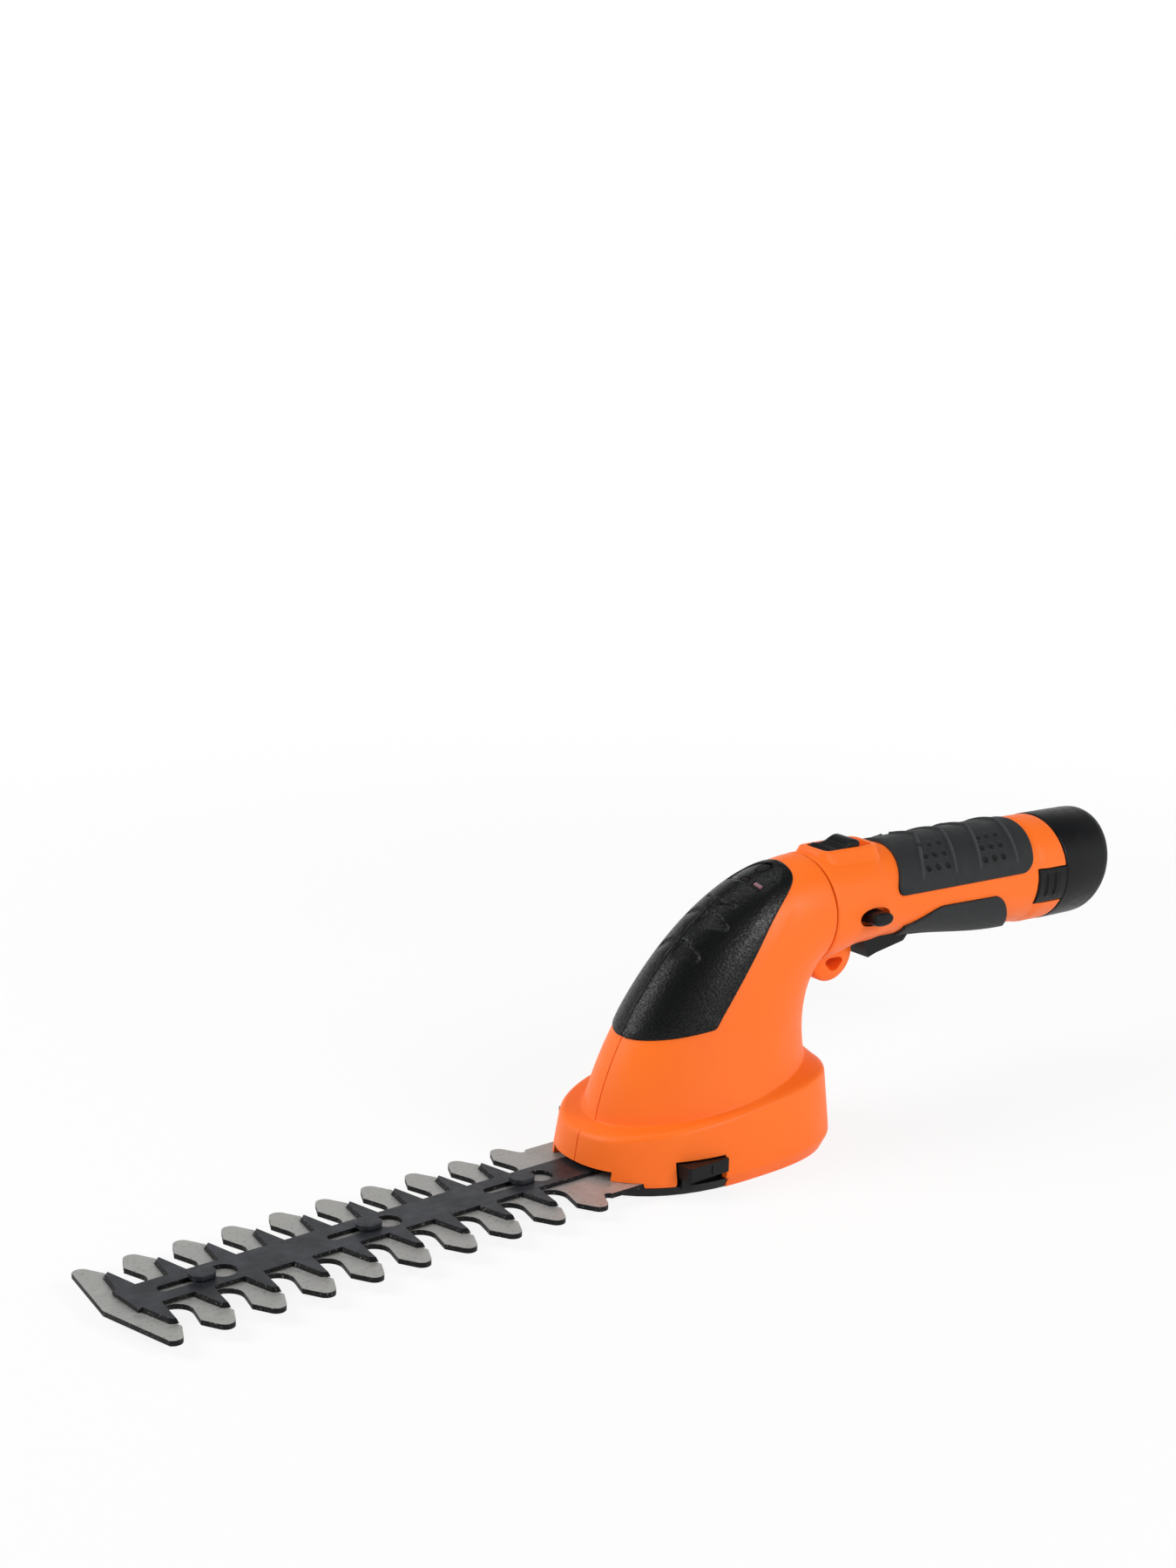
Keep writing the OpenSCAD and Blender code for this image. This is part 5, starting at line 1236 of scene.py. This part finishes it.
def seenBy(tree, *rays):
    # 1 for these kinds of ray and 0 for others
    path = addNode(tree, "ShaderNodeLightPath").outputs
    seen = path[rays[0]]
    for ray in rays[1:]:
        seen = addNode(tree, "ShaderNodeMath", {0: seen, 1: path[ray]}, operation="MAXIMUM").outputs[0]
    return seen


def makeFloor():
    f = floorSetup
    half, z = f["size"] / 2 / mm, -f["drop"] / mm
    material = bpy.data.materials.new("paleFloorPaper")
    floor = makePiece("paleFloor", [(-half, -half, z), (half, -half, z), (half, half, z), (-half, half, z)],
                      [(0, 1, 2, 3)], material, fixNormals=False)
    material.use_nodes = True
    tree = material.node_tree
    tree.nodes.clear()
    paper = addNode(tree, "ShaderNodeBsdfDiffuse", {"Color": f["paper"]}).outputs[0]
    glow = addNode(tree, "ShaderNodeEmission", {"Color": (1, 1, 1, 1), "Strength": 1.0}).outputs[0]
    place = addNode(tree, "ShaderNodeTexCoord").outputs["Object"]
    away = addNode(tree, "ShaderNodeVectorMath", {0: place}, operation="LENGTH").outputs["Value"]
    # the paper shows its shadow near the object and fades to plain white further out
    share = addNode(tree, "ShaderNodeMapRange",
                    {"Value": away, "From Min": f["nearTo"], "From Max": f["farFrom"],
                     "To Min": f["nearShare"], "To Max": 1.0},
                    interpolation_type="SMOOTHSTEP").outputs["Result"]
    seen = seenBy(tree, "Is Camera Ray", "Is Glossy Ray", "Is Transmission Ray")
    part = addNode(tree, "ShaderNodeMath", {0: seen, 1: share}, operation="MULTIPLY").outputs[0]
    mixed = addNode(tree, "ShaderNodeMixShader", {0: part, 1: paper, 2: glow}).outputs[0]
    addNode(tree, "ShaderNodeOutputMaterial", {"Surface": mixed})


def makeWorld():
    f = lightSetup
    world = bpy.data.worlds.new("whiteStudio")
    scene.world = world
    world.use_nodes = True
    tree = world.node_tree
    tree.nodes.clear()
    # white at the horizon, where the backdrop stands, and a dark ceiling behind the softboxes
    way = addNode(tree, "ShaderNodeTexCoord").outputs["Generated"]
    height = addNode(tree, "ShaderNodeSeparateXYZ", {"Vector": way}).outputs["Z"]
    room = addNode(tree, "ShaderNodeMapRange",
                   {"Value": height, "From Min": f["fade"][0], "From Max": f["fade"][1],
                    "To Min": f["horizonLevel"], "To Max": f["zenithLevel"]},
                   interpolation_type="SMOOTHSTEP").outputs["Result"]
    seen = seenBy(tree, "Is Camera Ray", "Is Transmission Ray")
    level = addNode(tree, "ShaderNodeMath", {0: seen, 1: room}, operation="MAXIMUM").outputs[0]
    sky = addNode(tree, "ShaderNodeBackground", {"Color": (1, 1, 1, 1), "Strength": level}).outputs[0]
    addNode(tree, "ShaderNodeOutputWorld", {"Surface": sky})


# build

setCamera()
setLights()
makeHeadShells()
print("head shells made")
makeHoodCovers()
makeLenses()
print("hood covers made")
makeHandleShells()
makeLockBolt()
makeBezel()
makeEye()
print("handle shells made")
makeTopGrip()
makeLowerGrip()
makeSlider()
makeBatteryCap()
makeBatteryTabs()
print("grips and battery made")

softCopy("lower_blade", "lowerBladeGround", ground, 0.22, "blade_unit", stamped)
softCopy("upper_blade", "upperBladeBlack", oxide, 0.18, "upper_blade", stamped)
softCopy("guide_studs", "guideStudsBlack", oxide, 0.35, "blade_unit")
softCopy("blade_carrier", "bladeCarrierBlack", satin, 0.4, "blade_unit")
for side, _ in sides:
    softCopy("blade_latch_" + side, "bladeLatch_" + side, satin, 0.4, "blade_latch_" + side)
makeCheckButton()
softCopy("trigger", "triggerBlack", satin, 0.8, "trigger", segments=3)
print("blades and buttons finished")

screws = screwTree()
for node in screwForm["sets"]:
    makeScrews(screws, node)
print("screws set")

innerFinishes = [  # solids that keep their own mesh
    (zinc, "gear_plate plate_screws motor_can latch_spring_left latch_spring_right crank_shaft crank_clip"),
    (zinc, "crank_roller motor_shaft carrier_rivets trigger_pin trigger_spring slider_spring"),
    (darkInner, "motor_end_bell switch_body switch_plunger terminal_block"),
    (satin, "swivel_collar swivel_hub battery_stem"),
    (bronze, "crank_bush motor_pinion"),
    (board, "indicator_board battery_board"),
    (contact, "terminal_blades battery_contacts"),
    (grained, "bottom_cover"),
    (nylon, "crank_gear"),
    (cellWrap, "battery_cells"),
]
for finish, names in innerFinishes:
    for name in names.split():
        nodes[name].data.materials.clear()
        nodes[name].data.materials.append(finish)

makeFloor()
makeWorld()
scene.view_settings.view_transform = "Standard"
print("stage set")
